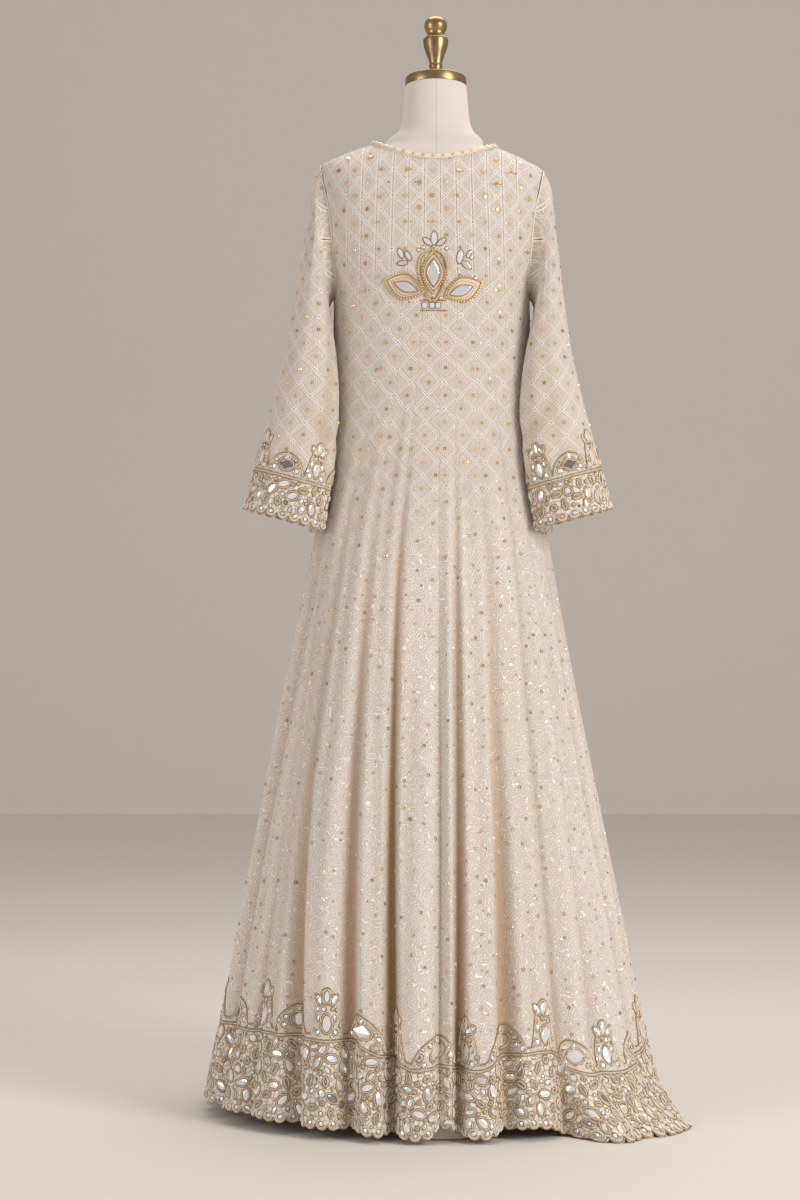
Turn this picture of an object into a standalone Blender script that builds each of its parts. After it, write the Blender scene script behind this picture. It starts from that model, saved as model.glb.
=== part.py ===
# Anarkali gown of gored, embroidered cloth, standing on a limbless dress form.
# Metres, +Z up. The gown's back faces -Y, and the origin is on the floor under the stand's centre.
# Every cloth piece is a thin wall: an outer grid of points, and the same grid moved in by the wall.

from collections import namedtuple

import bpy
import numpy as np

# ---- driving sizes -------------------------------------------------------------------------

WALL = 0.0022                # cloth with its lining stitched behind it
SEAM_GAP = 0.0003            # left open between two pieces that are sewn together
ARMPIT_Z = 1.26
SHOULDER_TIP_Z = 1.461
ARMHOLE_HALF_DEPTH = 0.050   # half of the armhole from back to front
NECK_HALF_WIDTH = 0.100      # from the centre line to the neck end of the shoulder seam
NECK_CENTRE_Z = {-1: 1.467, 1: 1.402}        # back, front
NECK_CURVE = {-1: 1.8, 1: 2.3}
BINDING_WIDTH = 0.0065
BINDING_PROUD = 0.0013

FOLDS_START_Z = 1.12
FOLDS_FULL_Z = 0.15
FOLD_SHARPNESS = 2.2
TRAIN_TOP_Z = 0.12

SHOULDER_ROLL = 0.022        # the left shoulder sits higher than the right by this slope
SLEEVE_CLEARANCE = 0.007
SLEEVE_SWING = 0.007         # the left sleeve hangs this much farther out, the right one nearer

FORM_INSET = 0.0080          # from the outer face of the cloth to the form under it
FORM_DROP = 0.0045           # how much lower its shoulders are than the cloth's
FORM_BOTTOM_Z = 0.745
NECK_TILT = np.radians(8.4)
CAP_RADIUS = 0.048
CAP_HEIGHT = 0.016
BASE_RADIUS = 0.160
POLE_RADIUS = 0.0125

BACK, FRONT = -1, 1

# ---- tables --------------------------------------------------------------------------------

# Level outlines of the gown, from the centre line: half width, depth behind and before.
Section = namedtuple("Section", "z half_width back front centre_x roundness")
GOWN_SECTIONS = [
    Section(0.0000, 0.3570, 0.3230, 0.3180, -0.0085, 2.0),
    Section(0.4000, 0.2800, 0.2440, 0.2400, -0.0085, 2.0),
    Section(0.7900, 0.2025, 0.1660, 0.1640, -0.0080, 2.0),
    Section(0.9000, 0.1815, 0.1460, 0.1450, -0.0070, 2.0),
    Section(1.0000, 0.1650, 0.1280, 0.1290, -0.0065, 2.0),
    Section(1.1000, 0.1560, 0.1130, 0.1180, -0.0065, 2.05),
    Section(1.2600, 0.1530, 0.1060, 0.1140, -0.0065, 2.15),
    Section(1.3400, 0.1630, 0.1090, 0.1120, -0.0065, 2.5),
    Section(1.4000, 0.1700, 0.1050, 0.1030, -0.0065, 2.5),
    Section(1.4400, 0.1748, 0.0940, 0.0900, -0.0065, 2.4),
    Section(1.4600, 0.1742, 0.0830, 0.0780, -0.0060, 2.3),
    Section(1.4775, 0.1460, 0.0720, 0.0670, -0.0050, 2.3),
    Section(1.4840, 0.1325, 0.0680, 0.0640, -0.0045, 2.3),
    Section(1.4930, 0.1085, 0.0630, 0.0600, -0.0035, 2.2),
    Section(1.4965, 0.1000, 0.0605, 0.0585, -0.0030, 2.2),
    Section(1.5025, 0.0865, 0.0575, 0.0570, -0.0020, 2.1),
    Section(1.5120, 0.0745, 0.0550, 0.0555, 0.0000, 2.0),
]

# Seams between the gores. top is across the shoulders in metres from the centre line. The
# other places are shares of the way round from the centre line to the side seam, at four
# heights. Each seam lies in the valley of a fold: depth and reach are the fold's, at the hem.
Seam = namedtuple("Seam", "top armpit hip knee hem depth reach")
SEAM_LEVELS = {"armpit": ARMPIT_Z, "hip": 0.868, "knee": 0.60, "hem": 0.0}
BACK_SEAMS = [
    Seam(None, -1.0000, -1.000, -1.000, -1.000, 0.020, 0.040),
    Seam(-0.129, -0.6875, -0.905, -0.925, -0.886, 0.018, 0.034),
    Seam(-0.1055, -0.5625, -0.810, -0.810, -0.762, 0.022, 0.040),
    Seam(-0.082, -0.4375, -0.700, -0.680, -0.600, 0.016, 0.046),
    Seam(-0.059, -0.3125, -0.562, -0.560, -0.415, 0.027, 0.046),
    Seam(-0.0355, -0.1875, -0.362, -0.335, -0.245, 0.029, 0.042),
    Seam(-0.012, -0.0625, -0.185, -0.170, -0.117, 0.036, 0.030),
    Seam(0.012, 0.0625, 0.038, 0.035, 0.017, 0.018, 0.030),
    Seam(0.0355, 0.1875, 0.140, 0.113, 0.073, 0.031, 0.026),
    Seam(0.059, 0.3125, 0.332, 0.286, 0.217, 0.028, 0.046),
    Seam(0.082, 0.4375, 0.506, 0.457, 0.402, 0.020, 0.050),
    Seam(0.1055, 0.5625, 0.640, 0.613, 0.543, 0.014, 0.050),
    Seam(0.129, 0.6875, 0.800, 0.780, 0.765, 0.018, 0.050),
    Seam(None, 1.0000, 1.000, 1.000, 1.000, 0.020, 0.040),
]
FRONT_SEAMS = [
    Seam(None, -1.0000, -1.000, -1.000, -1.000, 0.020, 0.040),
    Seam(-0.129, -0.6875, -0.790, -0.835, -0.856, 0.022, 0.042),
    Seam(-0.1055, -0.5625, -0.640, -0.668, -0.700, 0.026, 0.044),
    Seam(-0.082, -0.4375, -0.480, -0.520, -0.562, 0.018, 0.040),
    Seam(-0.059, -0.3125, -0.350, -0.372, -0.385, 0.030, 0.044),
    Seam(-0.0355, -0.1875, -0.235, -0.250, -0.248, 0.024, 0.036),
    Seam(-0.012, -0.0625, -0.070, -0.078, -0.085, 0.032, 0.042),
    Seam(0.012, 0.0625, 0.072, 0.080, 0.082, 0.021, 0.040),
    Seam(0.0355, 0.1875, 0.200, 0.215, 0.226, 0.031, 0.044),
    Seam(0.059, 0.3125, 0.345, 0.366, 0.392, 0.027, 0.042),
    Seam(0.082, 0.4375, 0.500, 0.520, 0.528, 0.019, 0.038),
    Seam(0.1055, 0.5625, 0.630, 0.662, 0.690, 0.029, 0.044),
    Seam(0.129, 0.6875, 0.780, 0.825, 0.850, 0.022, 0.042),
    Seam(None, 1.0000, 1.000, 1.000, 1.000, 0.020, 0.040),
]

# The hem by quarters round: 0 back centre, 1 right side, 2 front centre, 3 left side.
# height is above the floor, band is the border's height and train is how far it trails out.
HemPlace = namedtuple("HemPlace", "quarter height band train")
HEM = [
    HemPlace(0.000, 0.0080, 0.100, 0.000),
    HemPlace(0.017, 0.0190, 0.092, 0.000),
    HemPlace(0.050, 0.0210, 0.090, 0.000),
    HemPlace(0.073, 0.0130, 0.094, 0.000),
    HemPlace(0.150, 0.0050, 0.100, 0.000),
    HemPlace(0.217, 0.0130, 0.108, 0.000),
    HemPlace(0.300, 0.0170, 0.108, 0.000),
    HemPlace(0.375, 0.0110, 0.114, 0.000),
    HemPlace(0.402, 0.0040, 0.116, 0.004),
    HemPlace(0.435, 0.0004, 0.098, 0.066),
    HemPlace(0.500, 0.0004, 0.088, 0.084),
    HemPlace(0.620, 0.0004, 0.085, 0.088),
    HemPlace(0.730, 0.0004, 0.092, 0.082),
    HemPlace(0.860, 0.0020, 0.104, 0.036),
    HemPlace(1.000, 0.0120, 0.116, 0.000),
    HemPlace(1.500, 0.0160, 0.120, 0.000),
    HemPlace(2.000, 0.0120, 0.122, 0.000),
    HemPlace(2.500, 0.0150, 0.121, 0.000),
    HemPlace(3.000, 0.0200, 0.124, 0.000),
    HemPlace(3.350, 0.0200, 0.124, 0.000),
    HemPlace(3.585, 0.0160, 0.128, 0.000),
    HemPlace(3.755, 0.0140, 0.128, 0.000),
    HemPlace(3.830, 0.0080, 0.118, 0.000),
    HemPlace(3.883, 0.0110, 0.106, 0.000),
    HemPlace(3.940, 0.0040, 0.102, 0.000),
    HemPlace(4.000, 0.0080, 0.100, 0.000),
]

# Sleeve rings after the armhole, from the gown's centre line: the outer and the inner end
# of each ring, its half depth and how far back its middle is. The last three are the cuff's.
SleeveRing = namedtuple("SleeveRing", "x_out z_out x_in z_in half_depth y_middle")
SLEEVE_RINGS = [
    SleeveRing(0.1860, 1.436, 0.1560, 1.240, 0.0560, -0.003),
    SleeveRing(0.1942, 1.385, 0.1480, 1.205, 0.0610, -0.010),
    SleeveRing(0.2035, 1.315, 0.1370, 1.160, 0.0650, -0.020),
    SleeveRing(0.2135, 1.240, 0.1300, 1.110, 0.0680, -0.028),
    SleeveRing(0.2262, 1.165, 0.1290, 1.065, 0.0700, -0.034),
    SleeveRing(0.2445, 1.085, 0.1320, 1.020, 0.0710, -0.038),
    SleeveRing(0.2580, 1.035, 0.1350, 0.993, 0.0720, -0.040),
    SleeveRing(0.2702, 0.988, 0.1390, 0.965, 0.0720, -0.042),
    SleeveRing(0.2782, 0.958, 0.1430, 0.930, 0.0725, -0.043),
    SleeveRing(0.2862, 0.930, 0.1480, 0.893, 0.0730, -0.044),
]
CUFF_RINGS = 3

# Level outlines of the dress form where it doesn't lie on the cloth, lowest first.
FormSection = namedtuple("FormSection", "z half_width back front")
FORM_LOWER = [
    FormSection(FORM_BOTTOM_Z, 0.128, 0.098, 0.100),
    FormSection(0.760, 0.138, 0.108, 0.110),
    FormSection(0.820, 0.148, 0.118, 0.116),
    FormSection(0.880, 0.150, 0.120, 0.114),
    FormSection(0.980, 0.128, 0.100, 0.098),
    FormSection(1.080, 0.113, 0.084, 0.088),
    FormSection(1.180, 0.128, 0.090, 0.098),
]
FORM_NECK = [
    FormSection(1.5090, 0.0730, 0.0492, 0.0500),
    FormSection(1.5210, 0.0590, 0.0482, 0.0515),
    FormSection(1.5370, 0.0530, 0.0468, 0.0530),
    FormSection(1.5640, 0.0500, 0.0445, 0.0540),
    FormSection(1.5900, 0.0480, 0.0420, 0.0540),
]

# Worked medallions of the back motif: centre, half length, half width and turn.
Medallion = namedtuple("Medallion", "name x z half_length half_width turn point")
MEDALLIONS = [
    Medallion("centre", 0.0000, 1.3010, 0.0340, 0.0225, 90.0, 1.15),
    Medallion("left", -0.0465, 1.2850, 0.0280, 0.0205, -22.0, 1.00),
    Medallion("right", 0.0420, 1.2820, 0.0280, 0.0190, 22.0, 1.00),
]
MEDALLION_WALL = 0.0012
MEDALLION_LIFT = 0.0010      # clear of the curved back under its flat facets
MIRROR_WALL = 0.0016
MIRROR_SHARE = 0.52          # of the medallion's length and width

Finish = namedtuple("Finish", "name colour roughness metallic")
CLOTH = Finish("ivory embroidered cloth", (0.66, 0.58, 0.49), 0.62, 0.0)
BORDER = Finish("corded border", (0.60, 0.48, 0.35), 0.55, 0.0)
BINDING = Finish("neck binding", (0.72, 0.64, 0.54), 0.55, 0.0)
LINING = Finish("pale lining", (0.62, 0.54, 0.48), 0.70, 0.0)
GOLD_CORD = Finish("gold cord work", (0.50, 0.34, 0.17), 0.45, 0.3)
MIRROR = Finish("mirror glass", (0.80, 0.80, 0.82), 0.10, 0.9)
FORM_COVER = Finish("ivory form cover", (0.78, 0.73, 0.68), 0.75, 0.0)
BRASS = Finish("satin brass", (0.47, 0.35, 0.22), 0.30, 1.0)
STAND = Finish("stand metal", (0.42, 0.32, 0.21), 0.40, 1.0)

# ---- smooth values and the gown's surface --------------------------------------------------


def smooth_value(places, values, at):
    """A smooth value through the given ones, with no overshoot between them."""
    places = np.asarray(places, float)
    values = np.asarray(values, float)
    steps = np.diff(places)
    slopes = np.diff(values) / steps
    tangents = np.zeros(len(places))
    tangents[0], tangents[-1] = slopes[0], slopes[-1]
    product = slopes[:-1] * slopes[1:]
    total = slopes[:-1] + slopes[1:]
    tangents[1:-1] = np.where(product > 0, 2 * product / np.where(total == 0, 1, total), 0)
    index = np.clip(np.searchsorted(places, at, side="right") - 1, 0, len(steps) - 1)
    step = steps[index]
    t = np.clip((at - places[index]) / step, 0, 1)
    rise = t * t * (3 - 2 * t)
    return (values[index] * (1 - rise) + values[index + 1] * rise
            + step * t * (1 - t) * ((1 - t) * tangents[index] - t * tangents[index + 1]))


def column(rows, name):
    return [getattr(row, name) for row in rows]


SECTION_Z = column(GOWN_SECTIONS, "z")


def section(name, z):
    return float(smooth_value(SECTION_Z, column(GOWN_SECTIONS, name), z))


def depth_of(z, side):
    return section("back" if side == BACK else "front", z)


def surface_y(x, z, side):
    """How far behind or before the centre the unfolded surface is, at x from the centre line."""
    power = section("roundness", z)
    across = min(1.0, abs(x) / section("half_width", z))
    return side * depth_of(z, side) * (1 - across**power) ** (1 / power)


def outward(x, y, z):
    """The unfolded surface's direction outwards, at x from the centre line."""
    side = BACK if y < 0 else FRONT
    power = section("roundness", z)

    def level(height):
        across = abs(x) / section("half_width", height)
        deep = abs(y) / depth_of(height, side)
        return across**power + deep**power

    step = 0.0005
    width, depth = section("half_width", z), depth_of(z, side)
    slope = np.array([
        power * np.sign(x) * abs(x) ** (power - 1) / width**power,
        power * np.sign(y) * abs(y) ** (power - 1) / depth**power,
        (level(z + step) - level(max(z - step, 0.0))) / (z + step - max(z - step, 0.0)),
    ])
    return slope / np.linalg.norm(slope)


def rolled(point, neck_fade=1.0):
    """The point with the slight roll of the shoulders, which fades out towards the bust."""
    grown = np.clip((point[2] - 1.36) / 0.09, 0, 1) * neck_fade
    return np.array([point[0], point[1], point[2] - SHOULDER_ROLL * point[0] * grown])


def outline(z, side):
    """Half of the level outline at z, as x, y and the share of the way to the side seams."""
    power = section("roundness", z)
    angle = np.linspace(-np.pi / 2, np.pi / 2, 161)
    x = section("half_width", z) * np.sign(np.sin(angle)) * np.abs(np.sin(angle)) ** (2 / power)
    y = side * depth_of(z, side) * np.abs(np.cos(angle)) ** (2 / power)
    along = np.concatenate([[0], np.cumsum(np.hypot(np.diff(x), np.diff(y)))])
    return x, y, 2 * along / along[-1] - 1, along[-1] / 2


def seam_share(seam, z):
    levels = sorted((height, getattr(seam, name)) for name, height in SEAM_LEVELS.items())
    return float(smooth_value([row[0] for row in levels], [row[1] for row in levels], z))


def fold_depth(share, z, side, quarter_length):
    """How far the folds draw the cloth in at this share of the way round."""
    grown = np.clip((FOLDS_START_Z - z) / (FOLDS_START_Z - FOLDS_FULL_Z), 0, 1)
    total = 0.0
    for seam in BACK_SEAMS if side == BACK else FRONT_SEAMS:
        reach = seam.reach * (0.45 + 0.55 * grown)
        away = abs(share - seam_share(seam, z)) * quarter_length / reach
        total += seam.depth * grown**1.3 * (1 - min(1.0, away)) ** FOLD_SHARPNESS
    return total


def hem_value(name, share, side):
    quarter = share % 4 if side == BACK else 2 - share
    return float(smooth_value(column(HEM, "quarter"), column(HEM, name), quarter))


def skirt_point(share, z, side, shift=0.0):
    """A point of the cloth's outer face below the armpit, and its direction outwards.

    shift moves it along the seam line, so that two pieces stay apart."""
    xs, ys, shares, quarter_length = outline(z, side)
    place = share + shift / quarter_length
    x = float(np.interp(place, shares, xs))
    y = float(np.interp(place, shares, ys))
    out = outward(x, y, z)
    flat = np.array([out[0], out[1], 0.0]) / np.hypot(out[0], out[1])
    trailing = hem_value("train", share, side) * max(0.0, 1 - z / TRAIN_TOP_Z) ** 1.7
    fold = fold_depth(place, z, side, quarter_length)
    point = np.array([x + section("centre_x", z), y, z]) + flat * (trailing - fold)
    return point, out


# ---- the bodice ----------------------------------------------------------------------------


SHOULDER_LEVELS = np.linspace(1.46, GOWN_SECTIONS[-1].z, 400)
SHOULDER_WIDTHS = [section("half_width", level) for level in SHOULDER_LEVELS]


def shoulder_z(x):
    """Height of the shoulder seam at x from the centre line, where the gown is just that wide."""
    return float(np.interp(abs(x), SHOULDER_WIDTHS[::-1], SHOULDER_LEVELS[::-1]))


def neckline_z(x, side, lift=0.0):
    """Height of the neck edge at x from the centre line. lift goes up the binding."""
    end = NECK_HALF_WIDTH - 0.92 * lift
    centre = NECK_CENTRE_Z[side] + lift
    share = min(1.0, abs(x) / end)
    return centre + (shoulder_z(end) - centre) * share ** NECK_CURVE[side]


def top_z(x, side):
    if abs(x) <= NECK_HALF_WIDTH:
        return neckline_z(x, side) - SEAM_GAP / 2
    return shoulder_z(x)


def bodice_point(x, z, side):
    """A point of the smooth bodice at x from the centre line, and its direction outwards."""
    y = surface_y(x, z, side)
    if abs(y) < SEAM_GAP / 2:
        y = side * SEAM_GAP / 2
    return rolled([x + section("centre_x", z), y, z]), outward(x, y, z)


def armhole_edge(rise, side):
    """Place of the armhole seam in x and z, with rise from 0 at the armpit to 1 at the tip."""
    z = ARMPIT_Z + (SHOULDER_TIP_Z - ARMPIT_Z) * rise
    deep = ARMHOLE_HALF_DEPTH * np.sqrt(max(0.0, 4 * rise * (1 - rise)))
    power = section("roundness", z)
    x = section("half_width", z) * (1 - (deep / depth_of(z, side)) ** power) ** (1 / power)
    return x, z


RISES = [(1 - np.cos(step * np.pi / 6)) / 2 for step in range(7)]
GORE_COLUMNS = (0.0, 0.2, 0.5, 0.8, 1.0)
NECK_END_PLACES = (1.0, 0.9925, 0.975, 0.91)     # columns where the neck edge turns to the shoulder
SKIRT_ROWS = (0.13, 0.28, 0.47, 0.73, 1.0)       # share of the way from the armpit to the border
BORDER_ROWS = (0.0, 0.35, 0.7, 1.0)


def gore_columns(first, last):
    """Shares of the way across a gore, closer together at the neck end of the shoulder."""
    if first.top is not None and last.top is not None:
        for hand in (-1, 1):
            if first.top < hand * NECK_HALF_WIDTH < last.top:
                places = [hand * NECK_HALF_WIDTH * place for place in NECK_END_PLACES]
                inner = [(place - first.top) / (last.top - first.top) for place in places]
                return [0.0, *sorted(inner), 1.0]
    return list(GORE_COLUMNS)


def gore_shift(part):
    """Half a seam gap, away from the seam that this column of the gore lies on."""
    return SEAM_GAP / 2 * ((part == 0.0) - (part == 1.0))


def gore_share(first, last, part, z):
    return seam_share(first, z) * (1 - part) + seam_share(last, z) * part


def gore_grid(first, last, side):
    """Outer points and outward directions of a gore, from its top edge to the border."""
    xs, _, shares, _ = outline(ARMPIT_Z, side)
    columns = gore_columns(first, last)
    bottom = [float(np.interp(gore_share(first, last, part, ARMPIT_Z), shares, xs))
              for part in columns]
    across = [(x - bottom[0]) / (bottom[-1] - bottom[0]) for x in bottom]
    rows = []
    for rise in reversed(RISES[1:]):
        ends = []
        for seam, x_low in ((first, bottom[0]), (last, bottom[-1])):
            if seam.top is None:
                x, z = armhole_edge(rise, side)
                ends.append((x * np.sign(x_low), z))
            else:
                x = x_low + (seam.top - x_low) * rise
                ends.append((x, ARMPIT_Z + (top_z(seam.top, side) - ARMPIT_Z) * rise))
        row = []
        for part, low_share in zip(columns, across):
            share = low_share + (part - low_share) * rise
            x = ends[0][0] + (ends[1][0] - ends[0][0]) * share + gore_shift(part)
            if rise == 1.0:
                z = top_z(x, side)
            elif first.top is None or last.top is None:
                z = ends[0][1] + (ends[1][1] - ends[0][1]) * share
            else:
                x_top = first.top + (last.top - first.top) * part
                z = ARMPIT_Z + (top_z(x_top, side) - ARMPIT_Z) * rise
            row.append(bodice_point(x, z, side))
        rows.append(row)
    rows.append([skirt_point(gore_share(first, last, part, ARMPIT_Z), ARMPIT_Z, side,
                             gore_shift(part)) for part in columns])
    for down in SKIRT_ROWS:
        row = []
        for part in columns:
            low = border_top(gore_share(first, last, part, 0.12), side) + SEAM_GAP / 2
            z = ARMPIT_Z + (low - ARMPIT_Z) * down
            row.append(skirt_point(gore_share(first, last, part, z), z, side, gore_shift(part)))
        rows.append(row)
    return rows


def border_top(share, side):
    return hem_value("height", share, side) + hem_value("band", share, side)


def border_grid(seams, side):
    """Outer points and directions of a stretch of the hem border that spans several gores."""
    rows = []
    for down in BORDER_ROWS:
        row = []
        for index, (first, last) in enumerate(zip(seams, seams[1:])):
            for part in gore_columns(first, last)[index > 0:]:
                at_border = gore_share(first, last, part, 0.12)
                high = border_top(at_border, side) - SEAM_GAP / 2
                z = high + (hem_value("height", at_border, side) - high) * down
                is_end = (index == 0 and part == 0.0) or (last is seams[-1] and part == 1.0)
                shift = gore_shift(part) if is_end else 0.0
                row.append(skirt_point(gore_share(first, last, part, z), z, side, shift))
        rows.append(row)
    return rows


# ---- sleeves -------------------------------------------------------------------------------

RING_ANGLES = np.radians(np.arange(0, 360, 30))      # 0 at the shoulder tip, 90 at the back


def armhole_ring(hand):
    points = []
    for angle in RING_ANGLES:
        side = BACK if np.sin(angle) >= 0 else FRONT
        x, z = armhole_edge((1 + np.cos(angle)) / 2, side)
        y = -ARMHOLE_HALF_DEPTH * np.sin(angle)
        points.append(rolled([hand * (x + SEAM_GAP) + section("centre_x", z), y, z]))
    return points


def sleeve_ring(ring, hand):
    """A ring of the sleeve: an ellipse, pushed out where it would touch the gown's side."""
    points = []
    low = max(0.0, min(1.0, (1.40 - ring.z_out) / 0.25))
    swing = -hand * SLEEVE_SWING * low
    for angle in RING_ANGLES:
        x = (ring.x_out + ring.x_in) / 2 + (ring.x_out - ring.x_in) / 2 * np.cos(angle)
        z = (ring.z_out + ring.z_in) / 2 + (ring.z_out - ring.z_in) / 2 * np.cos(angle)
        y = ring.y_middle - ring.half_depth * np.sin(angle)
        side = BACK if y < 0 else FRONT
        power = section("roundness", z)
        deep = min(1.0, abs(y) / (depth_of(z, side) + SLEEVE_CLEARANCE))
        body = (section("half_width", z) + SLEEVE_CLEARANCE) * (1 - deep**power) ** (1 / power)
        points.append(rolled([hand * max(x + swing, body) + section("centre_x", z), y, z]))
    return points


def tube_directions(points):
    """Directions outwards of a tube of rings."""
    points = np.asarray(points)
    along = np.gradient(points, axis=0)
    around = np.roll(points, -1, axis=1) - np.roll(points, 1, axis=1)
    out = np.cross(around, along)
    centre = points.mean(axis=1, keepdims=True)
    out *= np.sign(np.sum(out * (points - centre), axis=2).mean())
    return out / np.linalg.norm(out, axis=2, keepdims=True)


# ---- making solids -------------------------------------------------------------------------


def make_object(name, points, faces, finish, smooth=True):
    mesh = bpy.data.meshes.new(name)
    mesh.from_pydata([tuple(map(float, point)) for point in points], [], faces)
    mesh.update()
    if smooth:
        mesh.shade_smooth()
        mesh.set_sharp_from_angle(angle=np.radians(50))
    material = bpy.data.materials.get(finish.name) or bpy.data.materials.new(finish.name)
    material.use_nodes = True
    shader = material.node_tree.nodes["Principled BSDF"]
    shader.inputs["Base Color"].default_value = (*finish.colour, 1.0)
    shader.inputs["Roughness"].default_value = finish.roughness
    shader.inputs["Metallic"].default_value = finish.metallic
    mesh.materials.append(material)
    made = bpy.data.objects.new(name, mesh)
    bpy.context.collection.objects.link(made)
    return made


def signed_volume(points, faces):
    points = np.asarray(points)
    total = 0.0
    for face in faces:
        for second, third in zip(face[1:], face[2:]):
            total += np.dot(points[face[0]], np.cross(points[second], points[third]))
    return total


def make_wall(name, outer, inner, finish, closed=False):
    """A wall between two grids of the same shape. closed joins its last column to its first."""
    outer, inner = np.asarray(outer, float), np.asarray(inner, float)
    rows, columns = outer.shape[:2]
    points = np.concatenate([outer.reshape(-1, 3), inner.reshape(-1, 3)])
    half = rows * columns
    spans = columns if closed else columns - 1

    def corner(row, col):
        return row * columns + col % columns

    faces = []

    def add_quad(a, b, c, d, turned):
        """Two triangles that share the side from a to c."""
        for triangle in ([a, b, c], [a, c, d]):
            faces.append(triangle[::-1] if turned else triangle)

    for row in range(rows - 1):
        for col in range(spans):
            quad = (corner(row, col), corner(row + 1, col),
                    corner(row + 1, col + 1), corner(row, col + 1))
            add_quad(*quad, False)
            add_quad(*(half + index for index in quad), True)
    for col in range(spans):
        for row in (0, rows - 1):
            a, b = corner(row, col), corner(row, col + 1)
            add_quad(a, b, half + b, half + a, row > 0)
    if not closed:
        for row in range(rows - 1):
            for col in (0, columns - 1):
                a, b = corner(row, col), corner(row + 1, col)
                add_quad(a, b, half + b, half + a, col == 0)
    if signed_volume(points, faces) < 0:
        faces = [face[::-1] for face in faces]
    return make_object(name, points, faces, finish)


def wall_from_rows(name, rows, finish, wall=WALL, proud=0.0):
    """A cloth wall from rows of (point, direction outwards), its outer face moved out by proud."""
    points = np.array([[pair[0] for pair in row] for row in rows])
    out = np.array([[pair[1] for pair in row] for row in rows])
    return make_wall(name, points + out * proud, points + out * (proud - wall), finish)


def make_loft(name, rings, finish):
    """A closed solid through level rings of the same number of points, lowest first."""
    count = len(rings[0])
    points = [point for ring in rings for point in ring]
    faces = []
    for level in range(len(rings) - 1):
        for index in range(count):
            after = (index + 1) % count
            faces.append([level * count + index, level * count + after,
                          (level + 1) * count + after, (level + 1) * count + index])
    faces.append(list(range(count))[::-1])
    faces.append([(len(rings) - 1) * count + index for index in range(count)])
    return make_object(name, points, faces, finish)


def make_turned(name, profile, finish, sides=24, centre=(0, 0, 0), tilt=0.0):
    """A solid turned about its own upright axis from (radius, height) pairs, lowest first."""
    turn = np.linspace(0, 2 * np.pi, sides, endpoint=False)
    rings = []
    for radius, height in profile:
        ring = []
        for angle in turn:
            x, y = radius * np.cos(angle), radius * np.sin(angle)
            ring.append([centre[0] + x,
                         centre[1] + y * np.cos(tilt) + height * np.sin(tilt),
                         centre[2] + height * np.cos(tilt) - y * np.sin(tilt)])
        rings.append(ring)
    return make_loft(name, rings, finish)


# ---- the gown's pieces ---------------------------------------------------------------------


def make_gores():
    for side, seams, word in ((BACK, BACK_SEAMS, "back"), (FRONT, FRONT_SEAMS, "front")):
        for index, (first, last) in enumerate(zip(seams, seams[1:]), start=1):
            wall_from_rows(f"gore_{word}_{index:02d}", gore_grid(first, last, side), CLOTH)


def make_border():
    """The hem border in six lengths, joined where gores 4 and 5 and gores 9 and 10 meet."""
    for side, seams, word in ((BACK, BACK_SEAMS, "back"), (FRONT, FRONT_SEAMS, "front")):
        for name, start, end in (("left", 0, 4), ("middle", 4, 9), ("right", 9, 13)):
            rows = border_grid(seams[start:end + 1], side)
            wall_from_rows(f"border_{word}_{name}", rows, BORDER)


def make_lining():
    """The strip of lining that shows under the raised hem behind the deep folds."""
    rows = []
    for z in (0.100, 0.050, 0.0006):
        row = []
        for share in np.linspace(-0.13, 0.24, 9):
            xs, ys, shares, _ = outline(z, BACK)
            x, y = float(np.interp(share, shares, xs)), float(np.interp(share, shares, ys))
            out = outward(x, y, z)
            point = np.array([x + section("centre_x", z), y, z])
            row.append((point - np.array([out[0], out[1], 0.0]) * 0.046, out))
        rows.append(row)
    wall_from_rows("lining_hem", rows, LINING, wall=0.0012)


def make_sleeves():
    for hand, word in ((-1, "left"), (1, "right")):
        rings = [armhole_ring(hand)] + [sleeve_ring(ring, hand) for ring in SLEEVE_RINGS]
        points = np.array(rings)
        out = tube_directions(points)
        last = len(rings) - CUFF_RINGS
        sleeve = slice(0, last + 1)
        make_wall(f"sleeve_{word}", points[sleeve], (points - out * WALL)[sleeve], CLOTH, True)
        down = points[last + 1] - points[last]
        down /= np.linalg.norm(down, axis=1, keepdims=True)
        cuff = points[last:].copy()
        cuff[0] += down * SEAM_GAP
        make_wall(f"cuff_{word}", cuff, cuff - out[last:] * WALL, BORDER, True)


def neck_places():
    """Where the gores' columns meet the neck edge, as shares of half its width."""
    places = set()
    for first, last in zip(BACK_SEAMS[1:-1], BACK_SEAMS[2:-1]):
        for part in gore_columns(first, last):
            places.add(round((first.top + (last.top - first.top) * part) / NECK_HALF_WIDTH, 6))
    return sorted(place for place in places if abs(place) <= 1)


def make_binding():
    for side, word in ((BACK, "back"), (FRONT, "front")):
        rows = []
        for lift in (BINDING_WIDTH, SEAM_GAP / 2):
            end = NECK_HALF_WIDTH - 0.92 * lift
            row = []
            for place in neck_places():
                x = end * place
                row.append(bodice_point(x, neckline_z(x, side, lift), side))
            rows.append(row)
        wall_from_rows(f"binding_{word}", rows, BINDING, WALL + BINDING_PROUD, BINDING_PROUD)


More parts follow.
